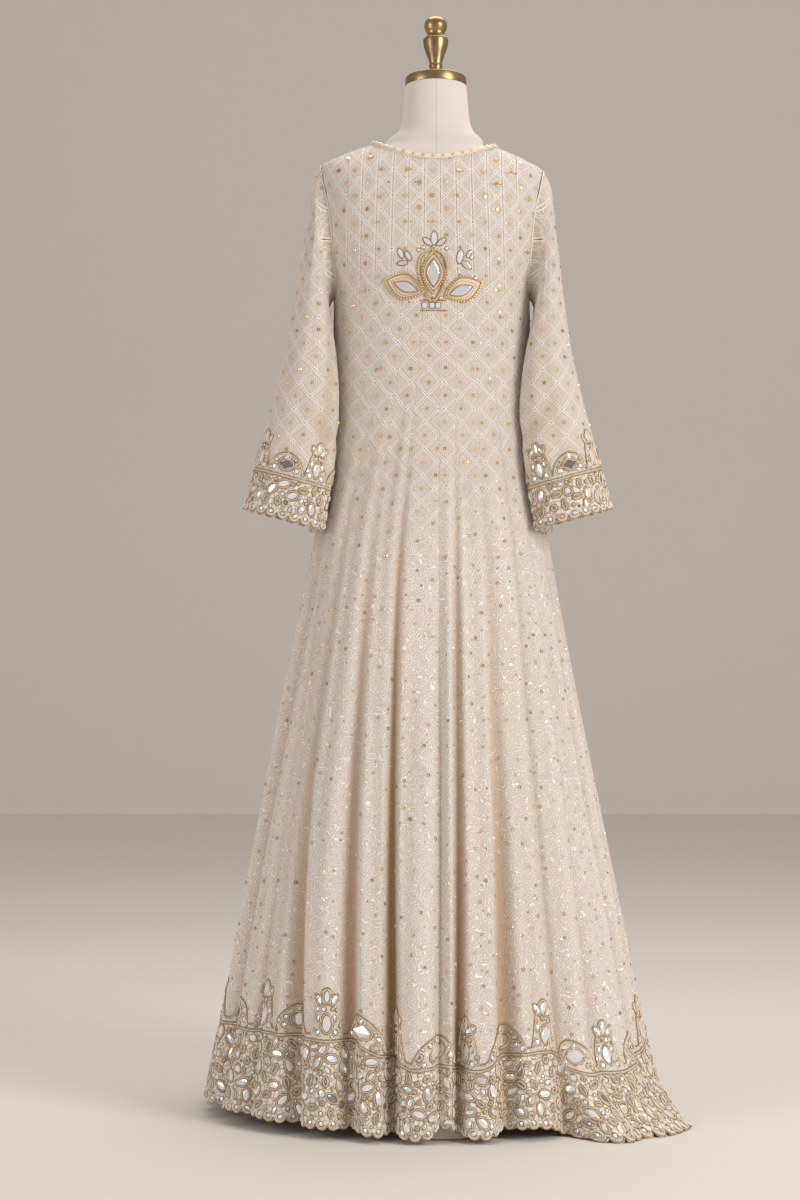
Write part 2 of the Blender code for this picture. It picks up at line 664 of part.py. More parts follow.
def make_motif():
    """Eye-shaped cord-worked medallions on the upper back, each with its mirror."""
    lengths = (-1.0, -0.72, -0.3, 0.3, 0.72, 1.0)
    for piece in MEDALLIONS:
        turn = np.radians(piece.turn)
        for kind, share, proud, wall, finish in (
            ("medallion", 1.0, MEDALLION_LIFT + MEDALLION_WALL, MEDALLION_WALL, GOLD_CORD),
            ("mirror", MIRROR_SHARE, MEDALLION_LIFT + MEDALLION_WALL + SEAM_GAP + MIRROR_WALL,
             MIRROR_WALL, MIRROR),
        ):
            rows = []
            for along in lengths:
                half = piece.half_width * (0.06 + 0.94 * (1 - abs(along) ** 1.7) ** piece.point)
                row = []
                for across in (-1.0, 0.0, 1.0):
                    p, q = piece.half_length * along * share, half * across * share
                    x = piece.x + p * np.cos(turn) - q * np.sin(turn)
                    z = piece.z + p * np.sin(turn) + q * np.cos(turn)
                    row.append(bodice_point(x, z, BACK))
                rows.append(row)
            wall_from_rows(f"{kind}_{piece.name}", rows, finish, wall, proud)


# ---- the dress form and its stand ----------------------------------------------------------


def form_rings(sides=20):
    """The form follows the cloth from the armpit to the neck edge, a little inside it."""
    sections = list(FORM_LOWER)
    for z in (1.26, 1.32, 1.38, 1.425, 1.452, 1.472, 1.486, 1.496, 1.5025):
        sections.append(FormSection(z - FORM_DROP * (z > 1.44), section("half_width", z) - FORM_INSET,
                                    section("back", z) - FORM_INSET,
                                    section("front", z) - FORM_INSET))
    sections += FORM_NECK
    turn = np.linspace(0, 2 * np.pi, sides, endpoint=False)
    rings = []
    for row in sections:
        power = section("roundness", row.z) if ARMPIT_Z <= row.z < 1.51 else 2.0
        shift = section("centre_x", row.z) if row.z < 1.51 else 0.0
        lean = np.clip((row.z - 1.53) / (1.59 - 1.53), 0, 1) * np.tan(NECK_TILT)
        ring = []
        neck_fade = 1 - np.clip((row.z - 1.500) / 0.020, 0, 1)
        for angle in turn:
            depth = row.back if np.sin(angle) < 0 else row.front
            x = row.half_width * np.sign(np.cos(angle)) * abs(np.cos(angle)) ** (2 / power)
            y = depth * np.sign(np.sin(angle)) * abs(np.sin(angle)) ** (2 / power)
            middle = (row.front - row.back) / 2
            ring.append(rolled([x + shift, y, row.z - (y - middle) * lean], neck_fade))
        rings.append(ring)
    return rings


def make_form():
    make_loft("form_torso", form_rings(), FORM_COVER)
    neck = FORM_NECK[-1]
    middle = (neck.front - neck.back) / 2
    up = np.array([0.0, np.sin(NECK_TILT), np.cos(NECK_TILT)])
    seat = np.array([0.0, middle, neck.z]) + up * SEAM_GAP
    cap = [(CAP_RADIUS - 0.0012, 0.0), (CAP_RADIUS, 0.0012),
           (CAP_RADIUS, CAP_HEIGHT - 0.0015), (CAP_RADIUS - 0.0015, CAP_HEIGHT)]
    make_turned("neck_cap", cap, BRASS, 32, seat, NECK_TILT)
    finial = [(0.0125, 0.0000), (0.0125, 0.0040), (0.0100, 0.0080), (0.0098, 0.0175),
              (0.0108, 0.0195), (0.0100, 0.0225), (0.0108, 0.0270), (0.0199, 0.0600),
              (0.0196, 0.0625), (0.0140, 0.0690), (0.0137, 0.0715), (0.0165, 0.0785),
              (0.0181, 0.0845), (0.0172, 0.0905), (0.0125, 0.0965), (0.0040, 0.1000)]
    make_turned("finial", finial, BRASS, 20, seat + up * (CAP_HEIGHT + SEAM_GAP), NECK_TILT)


def make_stand():
    base = [(BASE_RADIUS - 0.001, 0.0), (BASE_RADIUS, 0.001), (BASE_RADIUS, 0.006),
            (BASE_RADIUS - 0.006, 0.009), (0.030, 0.013), (0.026, 0.016)]
    make_turned("stand_base", base, STAND, 32)
    pole = [(POLE_RADIUS, 0.016 + SEAM_GAP), (POLE_RADIUS, FORM_BOTTOM_Z - SEAM_GAP)]
    make_turned("stand_pole", pole, STAND, 16)


def main():
    for old in list(bpy.data.objects):
        bpy.data.objects.remove(old, do_unlink=True)
    make_gores()
    make_border()
    make_lining()
    make_sleeves()
    make_binding()
    make_motif()
    make_form()
    make_stand()


main()
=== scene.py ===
from collections import namedtuple
import bmesh
import bpy
import numpy as np
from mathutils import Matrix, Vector


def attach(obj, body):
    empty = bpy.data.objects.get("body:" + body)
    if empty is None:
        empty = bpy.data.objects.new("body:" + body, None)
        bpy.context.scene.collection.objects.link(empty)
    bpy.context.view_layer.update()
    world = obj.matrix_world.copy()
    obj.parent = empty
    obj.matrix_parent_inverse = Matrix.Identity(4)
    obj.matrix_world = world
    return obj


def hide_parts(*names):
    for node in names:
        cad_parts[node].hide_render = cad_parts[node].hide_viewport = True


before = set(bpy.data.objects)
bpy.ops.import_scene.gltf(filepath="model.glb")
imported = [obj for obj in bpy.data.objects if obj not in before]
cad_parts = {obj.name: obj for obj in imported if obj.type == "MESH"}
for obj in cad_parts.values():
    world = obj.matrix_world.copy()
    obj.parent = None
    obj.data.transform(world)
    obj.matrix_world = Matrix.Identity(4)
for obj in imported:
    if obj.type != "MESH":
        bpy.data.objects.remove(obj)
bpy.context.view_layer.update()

print("frame loaded, nodes:", len(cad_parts))

back, front = -1, 1
sideWord = {back: "back", front: "front"}

# The gown's own sizes, the same as the frame's, in metres.
gown = {
    "armpitZ": 1.26, "shoulderTipZ": 1.461, "armholeHalfDepth": 0.050,
    "neckHalfWidth": 0.100, "neckCentreZ": {back: 1.467, front: 1.402}, "neckCurve": {back: 1.8, front: 2.3},
    "bindingWidth": 0.0065, "seamGap": 0.0003, "clothThickness": 0.0011,
    "foldsStartZ": 1.12, "foldsFullZ": 0.15, "foldSharpness": 2.2, "trainTopZ": 0.12,
    "shoulderRoll": 0.022, "sleeveClearance": 0.007, "sleeveSwing": 0.007,
    "formInset": 0.0080, "formDrop": 0.0045, "neckTilt": np.radians(8.4),
}

Section = namedtuple("Section", "z halfWidth back front centreX roundness")
gownSections = [
    Section(0.0000, 0.3570, 0.3230, 0.3180, -0.0085, 2.0),
    Section(0.4000, 0.2800, 0.2440, 0.2400, -0.0085, 2.0),
    Section(0.7900, 0.2025, 0.1660, 0.1640, -0.0080, 2.0),
    Section(0.9000, 0.1815, 0.1460, 0.1450, -0.0070, 2.0),
    Section(1.0000, 0.1650, 0.1280, 0.1290, -0.0065, 2.0),
    Section(1.1000, 0.1560, 0.1130, 0.1180, -0.0065, 2.05),
    Section(1.2600, 0.1530, 0.1060, 0.1140, -0.0065, 2.15),
    Section(1.3400, 0.1630, 0.1090, 0.1120, -0.0065, 2.5),
    Section(1.4000, 0.1700, 0.1050, 0.1030, -0.0065, 2.5),
    Section(1.4400, 0.1748, 0.0940, 0.0900, -0.0065, 2.4),
    Section(1.4600, 0.1742, 0.0830, 0.0780, -0.0060, 2.3),
    Section(1.4775, 0.1460, 0.0720, 0.0670, -0.0050, 2.3),
    Section(1.4840, 0.1325, 0.0680, 0.0640, -0.0045, 2.3),
    Section(1.4930, 0.1085, 0.0630, 0.0600, -0.0035, 2.2),
    Section(1.4965, 0.1000, 0.0605, 0.0585, -0.0030, 2.2),
    Section(1.5025, 0.0865, 0.0575, 0.0570, -0.0020, 2.1),
    Section(1.5120, 0.0745, 0.0550, 0.0555, 0.0000, 2.0),
]

# Seams: top is across the shoulders, the rest are shares of the way round to the side seam.
Seam = namedtuple("Seam", "top armpit hip knee hem depth reach")
seamLevels = (("hem", 0.0), ("knee", 0.60), ("hip", 0.868), ("armpit", 1.26))
seams = {
    back: [
        Seam(None, -1.0000, -1.000, -1.000, -1.000, 0.020, 0.040),
        Seam(-0.129, -0.6875, -0.905, -0.925, -0.886, 0.018, 0.034),
        Seam(-0.1055, -0.5625, -0.810, -0.810, -0.762, 0.022, 0.040),
        Seam(-0.082, -0.4375, -0.700, -0.680, -0.600, 0.016, 0.046),
        Seam(-0.059, -0.3125, -0.562, -0.560, -0.415, 0.027, 0.046),
        Seam(-0.0355, -0.1875, -0.362, -0.335, -0.245, 0.029, 0.042),
        Seam(-0.012, -0.0625, -0.185, -0.170, -0.117, 0.036, 0.030),
        Seam(0.012, 0.0625, 0.038, 0.035, 0.017, 0.018, 0.030),
        Seam(0.0355, 0.1875, 0.140, 0.113, 0.073, 0.031, 0.026),
        Seam(0.059, 0.3125, 0.332, 0.286, 0.217, 0.028, 0.046),
        Seam(0.082, 0.4375, 0.506, 0.457, 0.402, 0.020, 0.050),
        Seam(0.1055, 0.5625, 0.640, 0.613, 0.543, 0.014, 0.050),
        Seam(0.129, 0.6875, 0.800, 0.780, 0.765, 0.018, 0.050),
        Seam(None, 1.0000, 1.000, 1.000, 1.000, 0.020, 0.040),
    ],
    front: [
        Seam(None, -1.0000, -1.000, -1.000, -1.000, 0.020, 0.040),
        Seam(-0.129, -0.6875, -0.790, -0.835, -0.856, 0.022, 0.042),
        Seam(-0.1055, -0.5625, -0.640, -0.668, -0.700, 0.026, 0.044),
        Seam(-0.082, -0.4375, -0.480, -0.520, -0.562, 0.018, 0.040),
        Seam(-0.059, -0.3125, -0.350, -0.372, -0.385, 0.030, 0.044),
        Seam(-0.0355, -0.1875, -0.235, -0.250, -0.248, 0.024, 0.036),
        Seam(-0.012, -0.0625, -0.070, -0.078, -0.085, 0.032, 0.042),
        Seam(0.012, 0.0625, 0.072, 0.080, 0.082, 0.021, 0.040),
        Seam(0.0355, 0.1875, 0.200, 0.215, 0.226, 0.031, 0.044),
        Seam(0.059, 0.3125, 0.345, 0.366, 0.392, 0.027, 0.042),
        Seam(0.082, 0.4375, 0.500, 0.520, 0.528, 0.019, 0.038),
        Seam(0.1055, 0.5625, 0.630, 0.662, 0.690, 0.029, 0.044),
        Seam(0.129, 0.6875, 0.780, 0.825, 0.850, 0.022, 0.042),
        Seam(None, 1.0000, 1.000, 1.000, 1.000, 0.020, 0.040),
    ],
}

# The hem by quarters round: 0 back centre, 1 right side, 2 front centre, 3 left side.
HemPlace = namedtuple("HemPlace", "quarter height band train")
hemPlaces = [
    HemPlace(0.000, 0.0080, 0.100, 0.000), HemPlace(0.017, 0.0190, 0.092, 0.000),
    HemPlace(0.050, 0.0210, 0.090, 0.000), HemPlace(0.073, 0.0130, 0.094, 0.000),
    HemPlace(0.150, 0.0050, 0.100, 0.000), HemPlace(0.217, 0.0130, 0.108, 0.000),
    HemPlace(0.300, 0.0170, 0.108, 0.000), HemPlace(0.375, 0.0110, 0.114, 0.000),
    HemPlace(0.402, 0.0040, 0.116, 0.004), HemPlace(0.435, 0.0004, 0.098, 0.066),
    HemPlace(0.500, 0.0004, 0.088, 0.084), HemPlace(0.620, 0.0004, 0.085, 0.088),
    HemPlace(0.730, 0.0004, 0.092, 0.082), HemPlace(0.860, 0.0020, 0.104, 0.036),
    HemPlace(1.000, 0.0120, 0.116, 0.000), HemPlace(1.500, 0.0160, 0.120, 0.000),
    HemPlace(2.000, 0.0120, 0.122, 0.000), HemPlace(2.500, 0.0150, 0.121, 0.000),
    HemPlace(3.000, 0.0200, 0.124, 0.000), HemPlace(3.350, 0.0200, 0.124, 0.000),
    HemPlace(3.585, 0.0160, 0.128, 0.000), HemPlace(3.755, 0.0140, 0.128, 0.000),
    HemPlace(3.830, 0.0080, 0.118, 0.000), HemPlace(3.883, 0.0110, 0.106, 0.000),
    HemPlace(3.940, 0.0040, 0.102, 0.000), HemPlace(4.000, 0.0080, 0.100, 0.000),
]

SleeveRing = namedtuple("SleeveRing", "xOut zOut xIn zIn halfDepth yMiddle")
sleeveRings = [
    SleeveRing(0.1860, 1.436, 0.1560, 1.240, 0.0560, -0.003),
    SleeveRing(0.1942, 1.385, 0.1480, 1.205, 0.0610, -0.010),
    SleeveRing(0.2035, 1.315, 0.1370, 1.160, 0.0650, -0.020),
    SleeveRing(0.2135, 1.240, 0.1300, 1.110, 0.0680, -0.028),
    SleeveRing(0.2262, 1.165, 0.1290, 1.065, 0.0700, -0.034),
    SleeveRing(0.2445, 1.085, 0.1320, 1.020, 0.0710, -0.038),
    SleeveRing(0.2580, 1.035, 0.1350, 0.993, 0.0720, -0.040),
    SleeveRing(0.2702, 0.988, 0.1390, 0.965, 0.0720, -0.042),
    SleeveRing(0.2782, 0.958, 0.1430, 0.930, 0.0725, -0.043),
    SleeveRing(0.2862, 0.930, 0.1480, 0.893, 0.0730, -0.044),
]
cuffStart, cuffEnd = 8, 10      # ring numbers, counted from the armhole

# Creases, listed one by one: where they run, how deep (a ridge is negative) and how wide.
Crease = namedtuple("Crease", "gore zTop zBottom depth width drift")
creases = {
    back: [
        Crease(0.45, 0.98, 0.30, 0.004, 0.012, 0.10), Crease(1.45, 0.86, 0.06, -0.005, 0.014, -0.05),
        Crease(2.40, 1.02, 0.22, 0.005, 0.012, 0.12), Crease(2.75, 0.70, 0.02, -0.004, 0.010, 0.05),
        Crease(3.45, 0.95, 0.02, 0.007, 0.015, -0.06), Crease(4.35, 1.10, 0.40, 0.004, 0.010, 0.10),
        Crease(4.62, 0.62, 0.02, -0.006, 0.014, 0.00), Crease(5.40, 1.18, 0.52, 0.004, 0.009, 0.05),
        Crease(5.62, 0.66, 0.02, 0.006, 0.011, 0.08), Crease(6.38, 0.74, 0.06, 0.006, 0.010, -0.08),
        Crease(6.55, 0.56, 0.44, 0.004, 0.004, 0.10), Crease(7.50, 1.05, 0.02, -0.006, 0.007, 0.00),
        Crease(8.40, 1.12, 0.34, 0.005, 0.010, 0.14), Crease(8.70, 0.60, 0.02, -0.005, 0.012, 0.00),
        Crease(9.45, 0.92, 0.05, 0.006, 0.014, 0.06), Crease(10.40, 1.00, 0.10, 0.005, 0.012, -0.10),
        Crease(11.35, 0.84, 0.16, 0.006, 0.016, 0.10), Crease(11.75, 0.50, 0.02, -0.005, 0.014, 0.00),
        Crease(12.45, 0.95, 0.20, 0.005, 0.014, 0.05),
    ],
    front: [
        Crease(0.50, 0.92, 0.25, 0.005, 0.013, -0.08), Crease(1.40, 1.05, 0.12, 0.005, 0.012, 0.10),
        Crease(2.55, 0.80, 0.03, -0.006, 0.014, 0.05), Crease(3.42, 1.12, 0.30, 0.005, 0.010, -0.06),
        Crease(4.50, 0.72, 0.02, 0.006, 0.013, 0.08), Crease(5.45, 1.08, 0.45, 0.004, 0.010, 0.00),
        Crease(6.50, 0.90, 0.04, -0.007, 0.013, 0.04), Crease(7.40, 1.10, 0.36, 0.005, 0.010, 0.10),
        Crease(8.55, 0.68, 0.02, 0.006, 0.014, -0.05), Crease(9.45, 1.00, 0.20, 0.004, 0.011, 0.06),
        Crease(10.50, 0.78, 0.03, -0.006, 0.015, 0.00), Crease(11.45, 0.96, 0.16, 0.005, 0.012, 0.10),
        Crease(12.50, 0.88, 0.24, 0.005, 0.014, -0.06),
    ],
}


def smoothValue(places, values, at):
    # smooth through the given values, with no overshoot between them
    places, values = np.asarray(places, float), np.asarray(values, float)
    steps = np.diff(places)
    slopes = np.diff(values) / steps
    tangents = np.zeros(len(places))
    tangents[0], tangents[-1] = slopes[0], slopes[-1]
    product, total = slopes[:-1] * slopes[1:], slopes[:-1] + slopes[1:]
    tangents[1:-1] = np.where(product > 0, 2 * product / np.where(total == 0, 1, total), 0)
    index = np.clip(np.searchsorted(places, at, side="right") - 1, 0, len(steps) - 1)
    step = steps[index]
    t = np.clip((at - places[index]) / step, 0, 1)
    rise = t * t * (3 - 2 * t)
    return (values[index] * (1 - rise) + values[index + 1] * rise
            + step * t * (1 - t) * ((1 - t) * tangents[index] - t * tangents[index + 1]))


def column(rows, name):
    return [getattr(row, name) for row in rows]


def section(name, z):
    return smoothValue(column(gownSections, "z"), column(gownSections, name), z)


def depthOf(z, side):
    return section("back" if side == back else "front", z)


def ease(low, high, at):
    t = np.clip((at - low) / (high - low), 0, 1)
    return t * t * (3 - 2 * t)


# Level outlines from the floor to just over the armpit, by share of the way round.
levels = np.linspace(0, 1.272, 319)
shares = np.linspace(-1, 1, 401)


def outlineTable(side):
    z = levels[:, None]
    power = section("roundness", z)
    angle = np.linspace(-np.pi / 2, np.pi / 2, 241)[None, :]
    x = section("halfWidth", z) * np.sign(np.sin(angle)) * np.abs(np.sin(angle)) ** (2 / power)
    y = side * depthOf(z, side) * np.abs(np.cos(angle)) ** (2 / power)
    along = np.cumsum(np.hypot(np.diff(x, prepend=x[:, :1]), np.diff(y, prepend=y[:, :1])), axis=1)
    share = 2 * along / along[:, -1:] - 1
    return {
        "x": np.array([np.interp(shares, share[i], x[i]) for i in range(len(levels))]),
        "y": np.array([np.interp(shares, share[i], y[i]) for i in range(len(levels))]),
        "quarter": along[:, -1] / 2,
        "seams": np.array([smoothValue([height for _, height in seamLevels],
                                       [getattr(seam, name) for name, _ in seamLevels], levels)
                           for seam in seams[side]]),
    }


outlines = {side: outlineTable(side) for side in (back, front)}


def lookUp(grid, row, col):
    # the value between the four nearest entries of a table
    row = np.clip(row, 0, grid.shape[0] - 1.000001)
    col = np.clip(col, 0, grid.shape[1] - 1.000001)
    i, j = row.astype(int), col.astype(int)
    a, b = row - i, col - j
    return ((grid[i, j] * (1 - b) + grid[i, j + 1] * b) * (1 - a)
            + (grid[i + 1, j] * (1 - b) + grid[i + 1, j + 1] * b) * a)


def outlineAt(name, share, z, side):
    return lookUp(outlines[side][name], z / levels[1], (share + 1) * (len(shares) - 1) / 2)


def shareOf(gore, z, side):
    # gore counts from 0 at the left side seam to 13 at the right one
    return lookUp(outlines[side]["seams"], gore, z / levels[1])


def hemValue(name, share, side):
    quarter = share % 4 if side == back else 2 - share
    return smoothValue(column(hemPlaces, "quarter"), column(hemPlaces, name), quarter)


def outward(x, y, z, side):
    power = section("roundness", z)
    width, depth = section("halfWidth", z), depthOf(z, side)
    step = 0.0005

    def level(height):
        return ((np.abs(x) / section("halfWidth", height)) ** power
                + (np.abs(y) / depthOf(height, side)) ** power)

    slope = np.stack([
        power * np.sign(x) * np.abs(x) ** (power - 1) / width**power,
        power * np.sign(y) * np.abs(y) ** (power - 1) / depth**power,
        (level(z + step) - level(np.maximum(z - step, 0))) / (z + step - np.maximum(z - step, 0)),
    ], axis=-1)
    return slope / np.linalg.norm(slope, axis=-1, keepdims=True)


def foldDepth(share, z, side, quarter):
    grown = np.clip((gown["foldsStartZ"] - z) / (gown["foldsStartZ"] - gown["foldsFullZ"]), 0, 1)
    total = np.zeros_like(z)
    for number, seam in enumerate(seams[side]):
        seamShare = np.interp(z, levels, outlines[side]["seams"][number])
        away = np.hypot((share - seamShare) * quarter / (seam.reach * (0.45 + 0.55 * grown)), 0.03)
        soft = np.clip(1 - away, 0, 1) ** gown["foldSharpness"]
        flat = 1 - ease(0.06, 0.62, away)
        crisp = np.clip((seam.depth - 0.016) / 0.012, 0, 1) * 0.8     # deep folds have a flat bottom
        total += seam.depth * grown**1.3 * (soft * (1 - crisp) + flat * crisp)
    return total


def creaseDepth(gore, z, side, quarter):
    total = np.zeros_like(z)
    for crease in creases[side]:
        down = (crease.zTop - z) / (crease.zTop - crease.zBottom)
        shown = ease(0, 0.3, down) * (1 - ease(0.82, 1.12, down))
        centre = crease.gore + crease.drift * np.clip(down, 0, 1)
        away = (shareOf(gore, z, side) - shareOf(centre, z, side)) * quarter / crease.width
        total += crease.depth * shown * np.exp(-away**2)
    # a faint unevenness of the hanging cloth
    soft = ease(1.15, 0.5, z)
    total += soft * 0.0009 * (np.sin(gore * 5.3 + z * 4.1) + np.sin(gore * 8.9 - z * 6.3 + side))
    return total


def rolled(points, neckFade=1.0):
    grown = np.clip((points[..., 2] - 1.36) / 0.09, 0, 1) * neckFade
    moved = points.copy()
    moved[..., 2] -= gown["shoulderRoll"] * points[..., 0] * grown
    return moved


def skirtPoint(gore, z, side, shift=0.0):
    quarter = np.interp(z, levels, outlines[side]["quarter"])
    share = shareOf(gore, z, side)
    place = share + shift / quarter
    x, y = outlineAt("x", place, z, side), outlineAt("y", place, z, side)
    out = outward(x, y, z, side)
    flat = out[..., :2] / np.linalg.norm(out[..., :2], axis=-1, keepdims=True)
    trailing = hemValue("train", share, side) * np.clip(1 - z / gown["trainTopZ"], 0, 1) ** 1.7
    away = trailing - foldDepth(place, z, side, quarter) - creaseDepth(gore, z, side, quarter)
    return np.stack([x + section("centreX", z) + flat[..., 0] * away, y + flat[..., 1] * away, z], axis=-1)


shoulderLevels = np.linspace(1.46, 1.512, 1500)
shoulderWidths = section("halfWidth", shoulderLevels)


def shoulderZ(x):
    # the height at which the gown is just this wide, so that the back and front meet
    return np.interp(np.abs(x), shoulderWidths[::-1], shoulderLevels[::-1])


def necklineZ(x, side, lift=0.0):
    end = gown["neckHalfWidth"] - 0.92 * lift
    centre = gown["neckCentreZ"][side] + lift
    share = np.minimum(1.0, np.abs(x) / end)
    return centre + (shoulderZ(end) - centre) * share ** gown["neckCurve"][side]


def topZ(x, side):
    neck = necklineZ(x, side) - gown["seamGap"] / 2
    return np.where(np.abs(x) <= gown["neckHalfWidth"], neck, shoulderZ(x))


def armholeEdge(rise, side):
    z = gown["armpitZ"] + (gown["shoulderTipZ"] - gown["armpitZ"]) * rise
    deep = gown["armholeHalfDepth"] * np.sqrt(np.clip(4 * rise * (1 - rise), 0, 1))
    power = section("roundness", z)
    return section("halfWidth", z) * (1 - (deep / depthOf(z, side)) ** power) ** (1 / power), z


def bodicePlace(gore, rise, side, shift=0.0):
    # where a gore's point at this rise from armpit to top edge is, in x and z
    armpit = np.full_like(rise, gown["armpitZ"])
    index = np.clip(gore.astype(int), 0, 12)
    part = gore - index
    low = [outlineAt("x", shareOf(index + end, armpit, side), armpit, side) for end in (0.0, 1.0)]
    lowShare = (outlineAt("x", shareOf(gore, armpit, side), armpit, side) - low[0]) / (low[1] - low[0])
    tops = np.array([seam.top if seam.top is not None else np.nan for seam in seams[side]])
    armX, armZ = armholeEdge(rise, side)
    ends = []
    for end in (0, 1):
        top = tops[index + end]
        known = np.nan_to_num(top)
        x = np.where(np.isnan(top), armX * np.sign(low[end]), low[end] + (known - low[end]) * rise)
        z = np.where(np.isnan(top), armZ,
                     gown["armpitZ"] + (topZ(known, side) - gown["armpitZ"]) * rise)
        ends.append((x, z, np.isnan(top), known))
    share = lowShare + (part - lowShare) * rise
    x = ends[0][0] + (ends[1][0] - ends[0][0]) * share + shift
    topX = ends[0][3] + (ends[1][3] - ends[0][3]) * part
    straight = gown["armpitZ"] + (topZ(topX, side) - gown["armpitZ"]) * rise
    slanted = ends[0][1] + (ends[1][1] - ends[0][1]) * share
    atSide = ends[0][2] | ends[1][2]
    z = np.where(atSide, slanted + (topZ(x, side) - slanted) * rise**8, straight)
    return x, np.where(rise >= 0.999999, topZ(x, side), z)


def bodiceFrom(x, z, side):
    power = section("roundness", z)
    across = np.minimum(1.0, np.abs(x) / section("halfWidth", z))
    y = side * np.maximum(depthOf(z, side) * (1 - across**power) ** (1 / power), gown["seamGap"] / 2)
    return rolled(np.stack([x + section("centreX", z), y, z], axis=-1))


def borderTop(gore, side):
    at = shareOf(gore, np.full_like(gore, 0.12), side)
    return hemValue("height", at, side) + hemValue("band", at, side)


def hemZ(gore, side):
    return hemValue("height", shareOf(gore, np.full_like(gore, 0.12), side), side)


def gridNormals(points, closed=False):
    if closed:
        wide = np.concatenate([points[:, -2:-1], points, points[:, 1:2]], axis=1)
        along = (wide[:, 2:] - wide[:, :-2])
    else:
        along = np.gradient(points, axis=1)
    normals = np.cross(along, np.gradient(points, axis=0))
    length = np.linalg.norm(normals, axis=-1, keepdims=True)
    return normals / np.maximum(length, 1e-12)


def unit(vectors):
    return vectors / np.maximum(np.linalg.norm(vectors, axis=-1, keepdims=True), 1e-12)


# Shader tools: an expression on sockets adds its own Math nodes.


class Value:
    # a socket that can stand in an expression, which adds its own Math nodes

    def __init__(self, finish, socket):
        self.finish, self.socket = finish, socket

    def maths(self, operation, *others):
        sockets = {number: other for number, other in enumerate((self, *others))}
        return self.finish.add("ShaderNodeMath", {"operation": operation}, sockets)

    def __add__(self, other):
        return self.maths("ADD", other)

    def __sub__(self, other):
        return self.maths("SUBTRACT", other)

    def __mul__(self, other):
        return self.maths("MULTIPLY", other)

    def __truediv__(self, other):
        return self.maths("DIVIDE", other)

    def __rsub__(self, other):
        return self.maths("MULTIPLY", -1.0) + other

    def __abs__(self):
        return self.maths("ABSOLUTE")

    __radd__, __rmul__ = __add__, __mul__

    def fract(self):
        return self.maths("FRACT")

    def sine(self):
        return self.maths("SINE")

    def most(self, other):
        return self.maths("MAXIMUM", other)

    def least(self, other):
        return self.maths("MINIMUM", other)

    def rise(self, low, high):
        # 0 below low, 1 above high, smooth between; low over high turns it round
        settings = {"interpolation_type": "SMOOTHSTEP", "clamp": True}
        if low < high:
            return self.finish.add("ShaderNodeMapRange", settings,
                                   {"Value": self, "From Min": low, "From Max": high})
        return 1.0 - self.rise(high, low)


def linear(red, green, blue):
    # a screen colour from 0 to 255 as the shader wants it
    # shown colour, 0 to 255, as the light it stands for
    channels = [((c / 255 + 0.055) / 1.055) ** 2.4 if c > 10 else c / 3294.6 for c in (red, green, blue)]
    return (*channels, 1.0)


class Finish:
    def __init__(self, name, **constants):
        self.material = bpy.data.materials.new(name)
        self.material.use_nodes = True
        self.tree = self.material.node_tree
        self.shader = self.tree.nodes["Principled BSDF"]
        self.set(constants)

    def set(self, inputs):
        for name, value in inputs.items():
            self.join(self.shader.inputs[name.replace("_", " ")], value)

    def join(self, socket, value):
        if isinstance(value, Value):
            self.tree.links.new(value.socket, socket)
        elif value is not None:
            socket.default_value = value

    def add(self, kind, settings=None, inputs=None, output=0):
        node = self.tree.nodes.new(kind)
        for name, value in (settings or {}).items():
            setattr(node, name, value)
        for name, value in (inputs or {}).items():
            self.join(node.inputs[name], value)
        return Value(self, node.outputs[output])

    def blend(self, factor, first, second):
        settings = {"data_type": "RGBA", "blend_type": "MIX", "clamp_factor": True}
        return self.add("ShaderNodeMix", settings, {0: factor, 6: first, 7: second}, 2)

    def axes(self, vector):
        parts = self.add("ShaderNodeSeparateXYZ", {}, {"Vector": vector}).socket.node
        return [Value(self, socket) for socket in parts.outputs]

    def place(self):
        return self.add("ShaderNodeTexCoord", output="Object")

    def attribute(self, name):
        return self.add("ShaderNodeAttribute", {"attribute_name": name}, output="Fac")

    def noise(self, where, scale, detail=2.0, distortion=0.0):
        return self.add("ShaderNodeTexNoise", {}, {"Vector": where, "Scale": scale, "Detail": detail,
                                                   "Distortion": distortion})

    def wandering(self, uv, scale, apart, half):
        # cords that wind in loops, evenly apart, shuffled from gore to gore
        moved = self.add("ShaderNodeVectorMath", {"operation": "ADD"}, {0: uv, 1: self.attribute("shuffle")})
        shift = (self.noise(moved, 75, 1) - 0.5) * 0.016
        bent = self.add("ShaderNodeVectorMath", {"operation": "ADD"}, {0: moved, 1: shift})
        cells = self.add("ShaderNodeTexVoronoi", {"feature": "DISTANCE_TO_EDGE", "voronoi_dimensions": "2D"},
                         {"Vector": bent, "Scale": scale})
        turns = cells / (scale * apart) + 0.5
        return threadLine((turns.fract() - 0.5) * apart, half)

    def bump(self, height, strength, distance):
        return self.add("ShaderNodeBump", {}, {"Height": height, "Strength": strength, "Distance": distance})


# Cloth finishes.

clothLook = {
    # the valley colour is the golden brown of painted shade in the fold valleys
    "ground": (209, 193, 177), "thread": (255, 252, 247), "valley": (184, 142, 98), "warm": (216, 196, 170),
    # the eyelet colour is painted shade in the eyelet holes; the seam stitch line uses the same brown
    "skirt": (234, 222, 208), "eyelet": (128, 100, 74), "goldThread": (186, 150, 104),
    "cellWide": 0.0388, "cellHigh": 0.0408, "threadHalf": 0.00058, "threadApart": 0.00150,
}


def clothParts(finish):
    # u and v in metres on the flat cloth
    uv = finish.add("ShaderNodeUVMap", {"uv_map": "cloth"})
    u, v, _ = finish.axes(uv)
    return uv, u, v


def threadLine(away, half):
    # 1 on a thread whose middle is at 0
    return abs(away).rise(half * 1.35, half * 0.55)


